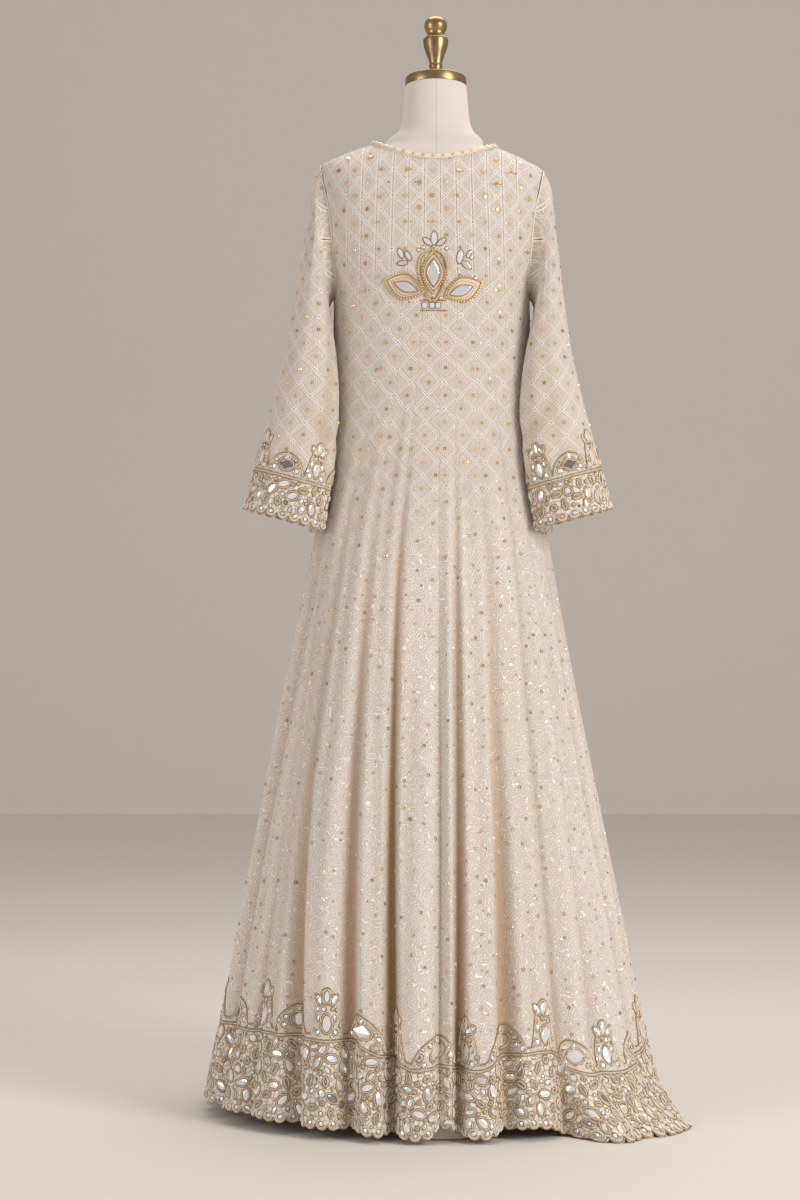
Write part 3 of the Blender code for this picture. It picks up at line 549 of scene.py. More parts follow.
def gownCloth():
    look = clothLook
    finish = Finish("embroidered ivory cloth", Roughness=0.62, Sheen_Weight=0.25, Sheen_Roughness=0.4,
                    Specular_IOR_Level=0.35)
    uv, u, v = clothParts(finish)
    wobble = (finish.noise(uv, 40, 1) - 0.5) * 0.0075
    a = (u + wobble) / look["cellWide"] + v / look["cellHigh"]
    b = (u + wobble) / look["cellWide"] - v / look["cellHigh"]
    slant = 1 / np.hypot(1 / look["cellWide"], 1 / look["cellHigh"])     # metres from line to line
    half, apart = look["threadHalf"], look["threadApart"]
    trellis = None
    away = []
    for line in (a, b):
        metres = (((line + 0.5).fract() - 0.5)) * slant
        away.append(abs(metres))
        pair = threadLine(abs(metres) - apart, half)
        trellis = pair if trellis is None else trellis.most(pair)
    eyelet = away[0].most(away[1]).rise(0.0011, 0.0006)
    # an echo of the trellis inside each cell, rows of filling stitches, and a wandering cord lower down
    inner = away[0].least(away[1])
    echo = threadLine(inner - 0.0068, 0.0004)
    filling = ((u * 2400 + finish.noise(uv, 45, 2) * 22).sine() * 0.5 + 0.5).rise(0.4, 0.9)
    vermicelli = finish.wandering(uv, 60.0, 0.0042, 0.00066)
    lower = v.rise(1.02, 0.78)
    upperThreads = trellis.most(echo * 0.75).most(filling * 0.30)
    lowerThreads = vermicelli.most(trellis * 0.35)
    threads = upperThreads * (1.0 - lower) + lowerThreads * lower
    valley = finish.attribute("valley")
    seam = finish.attribute("seam")
    stain = finish.noise(uv, 9, 3)
    ground = finish.blend(stain.rise(0.3, 0.75) * 0.5, linear(*look["ground"]), linear(*look["warm"]))
    ground = finish.blend(lower * 0.45, ground, linear(*look["skirt"]))
    colour = finish.blend(threads * 0.92, ground, linear(*look["thread"]))
    # painted shade in the eyelet holes of the upper cloth
    colour = finish.blend(eyelet * (1.0 - lower) * 0.9, colour, linear(*look["eyelet"]))
    # painted shade: the fold valleys are darkened towards golden brown
    colour = finish.blend(valley * 0.9, colour, linear(*look["valley"]))
    stitch = seam.rise(0.0009, 0.0004)
    pale = seam.rise(0.0010, 0.0016) * seam.rise(0.0034, 0.0024)
    upper = v.rise(1.18, 1.38)
    colour = finish.blend(stitch * upper * 0.22, colour, linear(*look["eyelet"]))
    colour = finish.blend(pale * upper * 0.45, colour, linear(*look["thread"]))
    weave = (u * 9000).sine() * (v * 9000).sine()
    height = threads * 1.0 + filling * 0.25 + weave * 0.06 - eyelet * 0.8
    finish.set({"Base Color": colour, "Roughness": 0.68 - threads * 0.2,
                "Normal": finish.bump(height, 0.9, 0.0009)})
    return finish.material


def borderCloth():
    look = clothLook
    finish = Finish("corded border cloth", Roughness=0.6, Sheen_Weight=0.2, Sheen_Roughness=0.4,
                    Specular_IOR_Level=0.35)
    uv, u, v = clothParts(finish)
    shift = finish.noise(uv, 60, 1) * 0.006
    bent = finish.add("ShaderNodeVectorMath", {"operation": "ADD"}, {0: uv, 1: shift})
    cells = finish.add("ShaderNodeTexVoronoi", {"feature": "DISTANCE_TO_EDGE"},
                       {"Vector": bent, "Scale": 125.0})
    cord = cells.rise(0.085, 0.04)
    pale = cells.rise(0.12, 0.16) * cells.rise(0.27, 0.22)
    filling = (finish.noise(uv, 260, 0, 0.8) * 40).sine().rise(0.2, 0.9)
    ground = finish.blend(filling * 0.7, linear(244, 232, 214), linear(255, 253, 246))
    colour = finish.blend(cord * 0.75, ground, linear(*look["goldThread"]))
    colour = finish.blend(pale * 0.8, colour, linear(*look["thread"]))
    # painted shade: the border's fold valleys are darkened towards golden brown
    colour = finish.blend(finish.attribute("valley") * 0.5, colour, linear(*look["valley"]))
    height = cord.most(pale * 0.8) + filling * 0.3
    finish.set({"Base Color": colour, "Normal": finish.bump(height, 0.9, 0.0008)})
    return finish.material


def plainCloth(name, colour, darker, roughness, sheen=0.15):
    finish = Finish(name, Roughness=roughness, Sheen_Weight=sheen, Specular_IOR_Level=0.3)
    place = finish.place()
    x, y, z = finish.axes(place)
    weave = ((x + y) * 5200 + finish.noise(place, 400) * 2).sine() * (z * 5200).sine()
    shade = finish.noise(place, 14, 4)
    mixed = finish.blend(shade.rise(0.3, 0.8) * 0.6 + weave * 0.08, linear(*colour), linear(*darker))
    finish.set({"Base Color": mixed, "Normal": finish.bump(weave * 0.5 + shade * 0.5, 0.25, 0.0004)})
    return finish.material


def cordFinish(name, colour, darker, metallic, roughness):
    finish = Finish(name, Metallic=metallic, Roughness=roughness)
    twist = finish.noise(finish.place(), 1400, 2, 0.6)
    finish.set({"Base Color": finish.blend(twist.rise(0.35, 0.7), linear(*darker), linear(*colour)),
                "Normal": finish.bump(twist, 0.6, 0.0004)})
    return finish.material


def foilFinish(name, colour, darker, roughness, metallic):
    # the tint number, from 0 to 1, one for each piece of foil or glass, moves the colour towards the darker
    # one; on the mirrors this darker colour is painted dark reflection
    finish = Finish(name, Metallic=metallic)
    tint = finish.attribute("tint")
    flaw = finish.noise(finish.place(), 300, 2)
    finish.set({"Base Color": finish.blend(tint, linear(*colour), linear(*darker)),
                "Roughness": roughness + flaw * 0.12})
    return finish.material


def turnedMetal(name, colour, darker, roughness):
    finish = Finish(name, Metallic=1.0)
    place = finish.place()
    height = finish.axes(place)[2]
    rings = finish.noise(height * 900, 1.0, 3)
    cloud = finish.noise(place, 45, 4)
    finish.set({"Base Color": finish.blend(cloud.rise(0.35, 0.75) * 0.6, linear(*colour), linear(*darker)),
                "Roughness": roughness + rings * 0.1 + cloud * 0.08,
                "Normal": finish.bump(rings, 0.12, 0.0003)})
    return finish.material


def formCover():
    # plain cover with a seam down the middle and another round the foot of the neck
    finish = Finish("dress form cover", Roughness=0.82, Sheen_Weight=0.15)
    place = finish.place()
    x, y, z = finish.axes(place)
    seam = abs(x).rise(0.0011, 0.0004).most(abs(z - 1.5225 + x * 0.02).rise(0.0008, 0.0003) * 0.5)
    weave = ((x + y) * 5200).sine() * (z * 5200).sine()
    shade = finish.noise(place, 14, 3)
    mixed = finish.blend(shade.rise(0.3, 0.8) * 0.6, linear(222, 213, 206), linear(214, 202, 192))
    finish.set({"Base Color": finish.blend(seam * 0.4, mixed, linear(176, 160, 140)),
                "Normal": finish.bump(weave * 0.3 - seam, 0.3, 0.0005)})
    return finish.material


finishes = {
    "cloth": gownCloth(),
    "border": borderCloth(),
    "lining": plainCloth("plain pale lining", (252, 246, 238), (240, 230, 218), 0.8),
    "binding": plainCloth("rolled satin binding", (236, 224, 204), (218, 200, 174), 0.5, 0.3),
    "form": formCover(),
    "goldCord": cordFinish("gold brown cord", (224, 192, 146), (158, 118, 76), 0.3, 0.42),
    "ivoryCord": cordFinish("ivory cord", (250, 243, 230), (226, 212, 190), 0.0, 0.5),
    "patch": plainCloth("cord worked patch", (222, 206, 182), (188, 160, 122), 0.55),
    # the darker colour of the small mirrors is painted dark reflection
    "mirror": foilFinish("small mirrors", (252, 252, 252), (112, 102, 94), 0.06, 0.5),
    "sequin": foilFinish("gold foil sequins", (240, 212, 164), (176, 128, 74), 0.25, 0.5),
    "brass": turnedMetal("satin turned brass", (168, 142, 104), (126, 102, 70), 0.24),
    "stand": turnedMetal("stand metal", (150, 128, 96), (118, 98, 72), 0.32),
}
print("finishes made:", len(finishes))

# Mesh tools.


def makeMesh(name, points, faces, material, uv=None, values=None, smooth=True):
    mesh = bpy.data.meshes.new(name)
    mesh.from_pydata(np.asarray(points, float).tolist(), [], faces)
    mesh.update()
    if uv is not None:
        layer = mesh.uv_layers.new(name="cloth")
        loops = np.zeros(len(mesh.loops), int)
        mesh.loops.foreach_get("vertex_index", loops)
        layer.data.foreach_set("uv", np.asarray(uv, np.float32)[loops].ravel())
    for key, value in (values or {}).items():
        mesh.attributes.new(key, "FLOAT", "POINT").data.foreach_set("value", np.asarray(value, np.float32))
    if smooth:
        mesh.shade_smooth()
        mesh.set_sharp_from_angle(angle=np.radians(60))
    mesh.materials.append(material)
    made = bpy.data.objects.new(name, mesh)
    bpy.context.collection.objects.link(made)
    return made


def ringFaces(levels, count):
    # quads between each ring of points and the next
    return [(level * count + i, level * count + (i + 1) % count,
             (level + 1) * count + (i + 1) % count, (level + 1) * count + i)
            for level in range(levels - 1) for i in range(count)]


def signedVolume(points, faces):
    points = np.asarray(points)
    total = 0.0
    for size in (3, 4):
        group = np.array([face for face in faces if len(face) == size])
        if len(group):
            a, b, c = (points[group[:, i]] for i in range(3))
            total += np.einsum("ij,ij->i", a, np.cross(b, c)).sum()
            if size == 4:
                total += np.einsum("ij,ij->i", a, np.cross(c, points[group[:, 3]])).sum()
    return total


def clothWall(name, outer, uv, material, values, thickness, closed=False):
    # a thin wall: the outer grid, and the same grid moved in
    rows, cols = outer.shape[:2]
    normals = gridNormals(outer, closed)
    centre = outer.mean(axis=(0, 1)) * np.array([0, 0, 1])
    if closed:
        centre = outer.mean(axis=1, keepdims=True)
    if np.sum(normals * (outer - centre) * np.array([1, 1, 0])) < 0:
        normals = -normals
    if closed:      # the last column repeats the first for the pattern's sake: join it
        normals[:, -1] = normals[:, 0]
    inner = outer - normals * thickness
    index = np.arange(rows * cols).reshape(rows, cols)
    half = rows * cols
    a, b, c, d = index[:-1, :-1], index[1:, :-1], index[1:, 1:], index[:-1, 1:]
    quads = np.stack([a, b, c, d], axis=-1).reshape(-1, 4)
    top, bottom = index[0], index[-1]
    rims = [np.stack([top[:-1], top[1:], top[1:] + half, top[:-1] + half], axis=-1),
            np.stack([bottom[1:], bottom[:-1], bottom[:-1] + half, bottom[1:] + half], axis=-1)]
    if not closed:
        left, right = index[:, 0], index[:, -1]
        rims += [np.stack([left[1:], left[:-1], left[:-1] + half, left[1:] + half], axis=-1),
                 np.stack([right[:-1], right[1:], right[1:] + half, right[:-1] + half], axis=-1)]
    faces = np.concatenate([quads, quads[:, ::-1] + half, *rims])
    points = np.concatenate([outer.reshape(-1, 3), inner.reshape(-1, 3)])
    if closed:
        merge = np.arange(2 * half).reshape(2, rows, cols)
        merge[:, :, -1] = merge[:, :, 0]
        faceUv = faces.copy()
        faces = merge.ravel()[faces]
    if signedVolume(points, faces.tolist()) < 0:
        faces = faces[:, ::-1]
        if closed:
            faceUv = faceUv[:, ::-1]
    flatUv = np.concatenate([uv.reshape(-1, 2)] * 2)
    doubled = {key: np.concatenate([np.broadcast_to(value, (rows, cols)).ravel()] * 2)
               for key, value in values.items()}
    made = makeMesh(name, points, faces.tolist(), material, flatUv, doubled)
    if closed:
        made.data.uv_layers["cloth"].data.foreach_set("uv", flatUv[faceUv.ravel()].astype(np.float32).ravel())
        loose = np.ones(len(points), bool)
        loose[faces.ravel()] = False
        removeLoose(made, loose)
    return made


def removeLoose(made, loose):
    work = bmesh.new()
    work.from_mesh(made.data)
    work.verts.ensure_lookup_table()
    bmesh.ops.delete(work, geom=[work.verts[int(i)] for i in np.flatnonzero(loose)], context="VERTS")
    work.to_mesh(made.data)
    work.free()


def declare(piece, nodes=()):
    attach(piece, "root")
    if nodes:
        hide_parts(*nodes)
    return piece


# Geometry Nodes: cord along edges, and small things set on points.


def newTree(name, inputs):
    tree = bpy.data.node_groups.new(name, "GeometryNodeTree")
    tree.interface.new_socket("Geometry", in_out="INPUT", socket_type="NodeSocketGeometry")
    sockets = {}
    for label, (kind, default) in inputs.items():
        socket = tree.interface.new_socket(label, in_out="INPUT", socket_type=kind)
        if default is not None:
            socket.default_value = default
        sockets[label] = socket.identifier
    tree.interface.new_socket("Geometry", in_out="OUTPUT", socket_type="NodeSocketGeometry")
    start, end = tree.nodes.new("NodeGroupInput"), tree.nodes.new("NodeGroupOutput")
    return tree, sockets, start, end


def addNode(tree, kind, settings=None, inputs=None):
    node = tree.nodes.new(kind)
    for name, value in (settings or {}).items():
        setattr(node, name, value)
    for name, value in (inputs or {}).items():
        if isinstance(value, bpy.types.NodeSocket):
            tree.links.new(value, node.inputs[name])
        else:
            node.inputs[name].default_value = value
    return node


def namedVector(tree, name):
    settings = {"data_type": "FLOAT_VECTOR"}
    return addNode(tree, "GeometryNodeInputNamedAttribute", settings, {"Name": name}).outputs[0]


def endTree(tree, geometry, start, end):
    # real geometry in the chosen finish
    real = addNode(tree, "GeometryNodeRealizeInstances", {}, {"Geometry": geometry})
    painted = addNode(tree, "GeometryNodeSetMaterial", {},
                      {"Geometry": real.outputs[0], "Material": start.outputs["Finish"]})
    tree.links.new(painted.outputs[0], end.inputs[0])


def buildCordTree():
    # a round cord along each edge
    tree, sockets, start, end = newTree("cord along edges", {
        "Thickness": ("NodeSocketFloat", 0.0006), "Sides": ("NodeSocketInt", 4),
        "Finish": ("NodeSocketMaterial", None)})
    curve = addNode(tree, "GeometryNodeMeshToCurve", {}, {"Mesh": start.outputs["Geometry"]})
    turned = addNode(tree, "GeometryNodeSetCurveNormal", {"mode": "FREE"},
                     {"Curve": curve.outputs[0], "Normal": namedVector(tree, "facing")})
    profile = addNode(tree, "GeometryNodeCurvePrimitiveCircle", {},
                      {"Resolution": start.outputs["Sides"], "Radius": start.outputs["Thickness"]})
    thick = addNode(tree, "GeometryNodeInputNamedAttribute", {"data_type": "FLOAT"}, {"Name": "thick"})
    tube = addNode(tree, "GeometryNodeCurveToMesh", {}, {"Curve": turned.outputs[0],
                   "Profile Curve": profile.outputs[0], "Scale": thick.outputs[0], "Fill Caps": True})
    endTree(tree, tube.outputs[0], start, end)
    return tree, sockets


def buildSettingTree():
    # a small shape on each point
    tree, sockets, start, end = newTree("small things on cloth", {
        "Piece": ("NodeSocketObject", None), "Scale": ("NodeSocketFloat", 1.0),
        "Finish": ("NodeSocketMaterial", None)})
    up = addNode(tree, "FunctionNodeAlignRotationToVector", {"axis": "Z"},
                 {"Vector": namedVector(tree, "facing")})
    turned = addNode(tree, "FunctionNodeAlignRotationToVector", {"axis": "X", "pivot_axis": "Z"},
                     {"Rotation": up.outputs[0], "Vector": namedVector(tree, "along")})
    scaled = addNode(tree, "ShaderNodeVectorMath", {"operation": "SCALE"},
                     {0: namedVector(tree, "size"), "Scale": start.outputs["Scale"]})
    piece = addNode(tree, "GeometryNodeObjectInfo", {}, {"Object": start.outputs["Piece"]})
    placed = addNode(tree, "GeometryNodeInstanceOnPoints", {}, {
        "Points": start.outputs["Geometry"], "Instance": piece.outputs["Geometry"],
        "Rotation": turned.outputs[0], "Scale": scaled.outputs[0]})
    endTree(tree, placed.outputs[0], start, end)
    return tree, sockets


cordTree, cordSockets = buildCordTree()
settingTree, settingSockets = buildSettingTree()


def applyTree(name, carrier, tree, sockets, inputs):
    holder = bpy.data.objects.new(name + "Carrier", carrier)
    bpy.context.collection.objects.link(holder)
    modifier = holder.modifiers.new("work", "NODES")
    modifier.node_group = tree
    for label, value in inputs.items():
        modifier[sockets[label]] = value
    graph = bpy.context.evaluated_depsgraph_get()
    mesh = bpy.data.meshes.new_from_object(holder.evaluated_get(graph), depsgraph=graph)
    bpy.data.objects.remove(holder)
    made = bpy.data.objects.new(name, mesh)
    bpy.context.collection.objects.link(made)
    mesh.shade_smooth()
    return made


def cordWork(name, lines, finish, thickness, sides=4):
    # lines: (points, directions away from the cloth, closed, relative thickness)
    points, facing, thick, edges = [], [], [], []
    for line, out, closed, share in lines:
        start = len(points)
        points.extend(line.tolist())
        facing.extend(out.tolist())
        thick.extend([share] * len(line))
        edges.extend((start + i, start + i + 1) for i in range(len(line) - 1))
        if closed:
            edges.append((start + len(line) - 1, start))
    carrier = bpy.data.meshes.new(name + "Lines")
    carrier.from_pydata(points, edges, [])
    carrier.attributes.new("facing", "FLOAT_VECTOR", "POINT").data.foreach_set(
        "vector", np.array(facing, np.float32).ravel())
    carrier.attributes.new("thick", "FLOAT", "POINT").data.foreach_set("value", np.array(thick, np.float32))
    made = applyTree(name, carrier, cordTree, cordSockets,
                     {"Thickness": thickness, "Sides": sides, "Finish": finish})
    return declare(made)


def setWork(name, places, shape, finish):
    # places: (points, directions out, directions along, sizes n x 3, tints); on the mirrors the tint sets a
    # painted dark reflection
    points, facing, along, sizes, tintsAndReflections = (np.concatenate(part) for part in zip(*places))
    carrier = bpy.data.meshes.new(name + "Points")
    carrier.from_pydata(points.tolist(), [], [])
    for key, value in (("facing", facing), ("along", along), ("size", sizes)):
        carrier.attributes.new(key, "FLOAT_VECTOR", "POINT").data.foreach_set(
            "vector", value.astype(np.float32).ravel())
    carrier.attributes.new("tint", "FLOAT", "POINT").data.foreach_set("value", tintsAndReflections.astype(np.float32))
    made = applyTree(name, carrier, settingTree, settingSockets,
                     {"Piece": shape, "Scale": 1.0, "Finish": finish})
    made.data.set_sharp_from_angle(angle=np.radians(35))
    return declare(made)


# Small shapes that are set by the hundred: unit size, lying on z = 0.


def turnedShape(name, profile, sides, outline=None):
    # unit size, lying on z = 0; the profile is (radius share, height) from outside to the middle
    turn = np.linspace(0, 2 * np.pi, sides, endpoint=False)
    x, y = outline(turn) if outline else (np.cos(turn), np.sin(turn))
    points = [(x[i] * radius, y[i] * radius, height) for radius, height in profile for i in range(sides)]
    faces = ringFaces(len(profile), sides)
    faces.append(tuple((len(profile) - 1) * sides + i for i in range(sides)))
    faces.append(tuple(range(sides))[::-1])
    shape = makeMesh(name, points, faces, finishes["mirror"], smooth=False)
    bpy.context.collection.objects.unlink(shape)
    return shape


def ringShape(name, sides, hole, height):
    # a flat ring with one ridge
    turn = np.linspace(0, 2 * np.pi, sides, endpoint=False)
    points, faces = [], []
    for radius, level in ((1.0, 0.0), ((1 + hole) / 2, height), (hole, 0.0)):
        points += [(np.cos(angle) * radius, np.sin(angle) * radius, level) for angle in turn]
    for ring in range(3):
        for i in range(sides):
            j = (i + 1) % sides
            after = (ring + 1) % 3 * sides
            faces.append((ring * sides + i, ring * sides + j, after + j, after + i))
    shape = makeMesh(name, points, faces, finishes["mirror"], smooth=False)
    bpy.context.collection.objects.unlink(shape)
    return shape


def leafOutline(turn):
    c, s = np.cos(turn), np.sin(turn)
    return np.sign(c) * np.abs(c) ** 0.9, s * (1 - np.abs(c) ** 2.2) ** 0.25 * 0.62


def dropOutline(turn):
    c, s = np.cos(turn), np.sin(turn)
    return c, s * 0.62 * (1 - 0.75 * (0.5 + 0.5 * c)) ** 0.5 * 1.15


dishProfile = [(1.0, 0.0), (0.80, 0.34)]
mirrorProfile = [(1.0, 0.0), (0.97, 0.5), (0.84, 0.62)]
shapes = {
    "ring": ringShape("ringSequin", 8, 0.48, 0.34),
    "dish": turnedShape("dishSequin", dishProfile, 6),
    "round": turnedShape("roundMirror", mirrorProfile, 10),
    "diamond": turnedShape("diamondMirror", mirrorProfile, 4),
    "leaf": turnedShape("leafMirror", mirrorProfile, 12, leafOutline),
    "drop": turnedShape("dropMirror", mirrorProfile, 12, dropOutline),
    "bead": turnedShape("bead", [(0.6, 0.0), (1.0, 0.5), (0.9, 1.1), (0.4, 1.5)], 6),
}

# The gores.

goreWork = {
    "bodiceRows": 24, "skirtRows": 68, "seamDip": 0.0003, "seamHalf": 0.0015, "gap": 0.0001, "shuffle": 0.37,
    "columns": (0, 0.012, 0.03, 0.06, 0.1, 0.145, 0.19, 0.25, 0.33, 0.42, 0.5,
                0.58, 0.67, 0.75, 0.81, 0.855, 0.9, 0.94, 0.97, 0.988, 1),
    "neckEndPlaces": (1.0, 0.9925, 0.975, 0.94),
}


def goreColumns(first, last):
    parts = list(goreWork["columns"])
    if first.top is not None and last.top is not None:
        for hand in (-1, 1):
            if first.top < hand * gown["neckHalfWidth"] < last.top:
                extra = [(hand * gown["neckHalfWidth"] * p - first.top) / (last.top - first.top)
                         for p in goreWork["neckEndPlaces"]]
                parts = sorted(set(parts) - {p for p in parts if min(abs(p - e) for e in extra) < 0.02
                                             and 0 < p < 1} | set(extra))
    return np.array(parts)


def goreGrid(number, side):
    # points, pattern places and values of a gore from its top edge to the border
    first, last = seams[side][number], seams[side][number + 1]
    parts = goreColumns(first, last)
    cols = len(parts)
    gore = number + parts
    shift = goreWork["gap"] / 2 * ((parts == 0).astype(float) - (parts == 1).astype(float))
    rises = (1 - np.cos(np.linspace(0, np.pi, goreWork["bodiceRows"]))) / 2
    grid, heights = [], []
    for rise in rises[::-1][:-1]:
        x, z = bodicePlace(gore, np.full(cols, rise), side, shift)
        grid.append(bodiceFrom(x, z, side))
        heights.append(z)
    low = borderTop(gore, side) + gown["seamGap"] / 2
    for down in np.linspace(0, 1, goreWork["skirtRows"]):
        z = gown["armpitZ"] + (low - gown["armpitZ"]) * down
        grid.append(skirtPoint(gore, z, side, shift))
        heights.append(z)
    return parts, np.array(grid), np.array(heights)


def clothPlaces(number, side, grid, heights):
    # pattern places: v is the height, u is measured from the gore's middle
    first, last = seams[side][number], seams[side][number + 1]
    steps = np.linalg.norm(np.diff(grid, axis=1), axis=-1)
    along = np.concatenate([np.zeros((len(grid), 1)), np.cumsum(steps, axis=1)], axis=1)
    width = along[:, -1:]
    if first.top is None:
        u = last.top - (width - along)
    elif last.top is None:
        u = first.top + along
    else:
        u = (first.top + last.top) / 2 + along - width / 2
    return np.stack([u, heights], axis=-1), np.minimum(along, width - along)


# how strongly each point of a fold valley or crease is painted with shade
def valleyShadeOf(gore, z, side):
    low = np.minimum(z, gown["armpitZ"])
    quarter = np.interp(low, levels, outlines[side]["quarter"])
    fold = foldDepth(shareOf(gore, low, side), low, side, quarter)
    grown = np.clip((gown["foldsStartZ"] - low) / (gown["foldsStartZ"] - gown["foldsFullZ"]), 0.1, 1)
    deep = np.clip(fold / (0.030 * grown**0.9), 0, 1) ** 1.7 * ease(0, 0.35, grown)
    fine = np.clip(creaseDepth(gore, low, side, quarter) / 0.010, 0, 1) * 0.25
    return np.clip(deep + fine, 0, 1) * (z <= gown["armpitZ"])


goreGrids = {}
for side in (back, front):
    for number in range(13):
        parts, grid, heights = goreGrid(number, side)
        uv, seamAway = clothPlaces(number, side, grid, heights)
        dip = goreWork["seamDip"] * np.exp(-(seamAway / goreWork["seamHalf"]) ** 2)
        dip = dip * ease(1.05, 1.30, heights)
        normals = gridNormals(grid)
        outSign = np.sign(np.sum(normals * grid * np.array([1, 1, 0])))
        grid = grid - normals * outSign * dip[..., None]
        # painted shade for the gore's fold valleys and creases
        valley = valleyShadeOf(np.broadcast_to(number + parts, heights.shape), heights, side)
        node = f"gore_{sideWord[side]}_{number + 1:02d}"
        values = {"valley": valley, "seam": seamAway,
                  "shuffle": np.full_like(valley, number * goreWork["shuffle"])}
        piece = clothWall(f"gore{sideWord[side].capitalize()}{number + 1:02d}", grid, uv, finishes["cloth"],
                          values, gown["clothThickness"])
        declare(piece, [node])
        goreGrids[side, number] = (parts, grid, uv, normals * outSign)
print("gores made")

# The hem border has one cut for each of six lengths, with a scalloped edge.

borderWork = {"perGore": 34, "rows": (0, 0.06, 0.16, 0.28, 0.4, 0.52, 0.64, 0.75, 0.84, 0.91, 0.96, 1),
              "scallopWide": 0.0195, "scallopDeep": 0.0068}


class HemRun:
    # distances along the folded hem of one side, and points of the cloth at s along and t up

    def __init__(self, side):
        self.side = side
        gore = np.linspace(0, 13, 2601)
        line = skirtPoint(gore, hemZ(gore, side) + 0.05, side)
        self.gore = gore
        self.s = np.concatenate([[0], np.cumsum(np.linalg.norm(np.diff(line, axis=0), axis=1))])

    def along(self, gore):
        return np.interp(gore, self.gore, self.s)

    def goreAt(self, s):
        return np.interp(s, self.s, self.gore)

    def point(self, s, t):
        gore = self.goreAt(s)
        return skirtPoint(gore, hemZ(gore, self.side) + t, self.side)

    def place(self, s, t, lift=0.0):
        # point, direction out and direction along the hem
        s, t = np.asarray(s, float), np.asarray(t, float)
        step = 0.0012
        middle = self.point(s, t)
        along = self.point(s + step, t) - self.point(s - step, t)
        up = self.point(s, t + step) - self.point(s, np.maximum(t - step, 0))
        out = unit(np.cross(along, up))
        out = out * np.sign(np.sum(out * (middle * np.array([1, 1, 0])), axis=-1, keepdims=True))
        return middle + out * np.asarray(lift)[..., None], out, unit(along)


hemRuns = {side: HemRun(side) for side in (back, front)}


def scallopRise(s, wide, deep):
    # 0 at the middle of a scallop, deep at the notch between two
    phase = np.abs((s / wide) % 1 - 0.5) * 2
    return deep * (1 - np.sqrt(np.clip(1 - phase**2, 0, 1)))


for side in (back, front):
    run = hemRuns[side]
    count = np.round(run.s[-1] / borderWork["scallopWide"])
    run.scallop = run.s[-1] / count
    for word, start, end in (("left", 0, 4), ("middle", 4, 9), ("right", 9, 13)):
        gore = np.linspace(start, end, (end - start) * borderWork["perGore"] + 1)
        shift = np.zeros(len(gore))
        shift[0], shift[-1] = goreWork["gap"] / 2, -goreWork["gap"] / 2
        high, low = borderTop(gore, side) - gown["seamGap"] / 2, hemZ(gore, side)
        notch = scallopRise(run.along(gore), run.scallop, borderWork["scallopDeep"])
        grid, uv, heights = [], [], []
        for down in borderWork["rows"]:
            z = high + (low + notch * down**6 - high) * down
            grid.append(skirtPoint(gore, z, side, shift))
            uv.append(np.stack([run.along(gore), z], axis=-1))
            heights.append(z)
        grid, heights = np.array(grid), np.array(heights)
        # painted shade for the border's fold valleys
        valley = valleyShadeOf(np.broadcast_to(gore, heights.shape), heights, side)
        piece = clothWall(f"border{sideWord[side].capitalize()}{word.capitalize()}", grid, np.array(uv),
                          finishes["border"], {"valley": valley, "seam": np.full(heights.shape, 1.0)},
                          gown["clothThickness"])
        declare(piece, [f"border_{sideWord[side]}_{word}"])
print("border made")

# Sleeves and cuffs.

sleeveWork = {
    "turns": 96, "rows": 76, "cuffTurns": 200,
    "cuffRows": (0, 0.15, 0.3, 0.45, 0.6, 0.72, 0.82, 0.9, 0.96, 1),
    "cuffUp": 0.068, "foldDepth": 0.0032, "scallopWide": 0.0185, "scallopDeep": 0.0060, "pipingOut": 0.0016,
}


def ringPoint(number, turn, hand):
    if number == 0:
        rise = (1 + np.cos(turn)) / 2
        behind = np.sin(turn) >= 0
        xBack, z = armholeEdge(rise, back)
        xFront, _ = armholeEdge(rise, front)
        x = np.where(behind, xBack, xFront) + gown["seamGap"]
        y = -gown["armholeHalfDepth"] * np.sin(turn)
        return rolled(np.stack([hand * x + section("centreX", z), y, z], axis=-1))
    ring = sleeveRings[number - 1]
    low = np.clip((1.40 - ring.zOut) / 0.25, 0, 1)
    x = (ring.xOut + ring.xIn) / 2 + (ring.xOut - ring.xIn) / 2 * np.cos(turn)
    x = x - hand * gown["sleeveSwing"] * low
    z = (ring.zOut + ring.zIn) / 2 + (ring.zOut - ring.zIn) / 2 * np.cos(turn)
    y = ring.yMiddle - ring.halfDepth * np.sin(turn)
    depth = np.where(y < 0, depthOf(z, back), depthOf(z, front)) + gown["sleeveClearance"]
    power = section("roundness", z)
    deep = np.minimum(1.0, np.abs(y) / depth)
    body = (section("halfWidth", z) + gown["sleeveClearance"]) * (1 - deep**power) ** (1 / power)
    outer = (x + body + np.sqrt((x - body) ** 2 + 0.004**2)) / 2
    return rolled(np.stack([hand * outer + section("centreX", z), y, z], axis=-1))


ringTurns = np.linspace(0, 2 * np.pi, 181)
ringTables = {hand: np.array([ringPoint(number, ringTurns, hand) for number in range(len(sleeveRings) + 1)])
              for hand in (-1, 1)}


def sleeveBase(turn, ring, hand):
    # smooth through the rings, between the two nearest turns
    table = ringTables[hand]
    turn = np.mod(turn, 2 * np.pi) / ringTurns[1]
    ring = np.clip(ring, 0, 9.99999)
    j = np.minimum(turn.astype(int), 179)
    b = (turn - j)[..., None]
    i = ring.astype(int)
    a = (ring - i)[..., None]
    knots = [table[np.clip(i + k, 0, 10), j] * (1 - b) + table[np.clip(i + k, 0, 10), j + 1] * b
             for k in (-1, 0, 1, 2)]
    p0, p1, p2, p3 = knots
    return p1 + 0.5 * a * (p2 - p0 + a * (2 * p0 - 5 * p1 + 4 * p2 - p3 + a * (3 * (p1 - p2) + p3 - p0)))


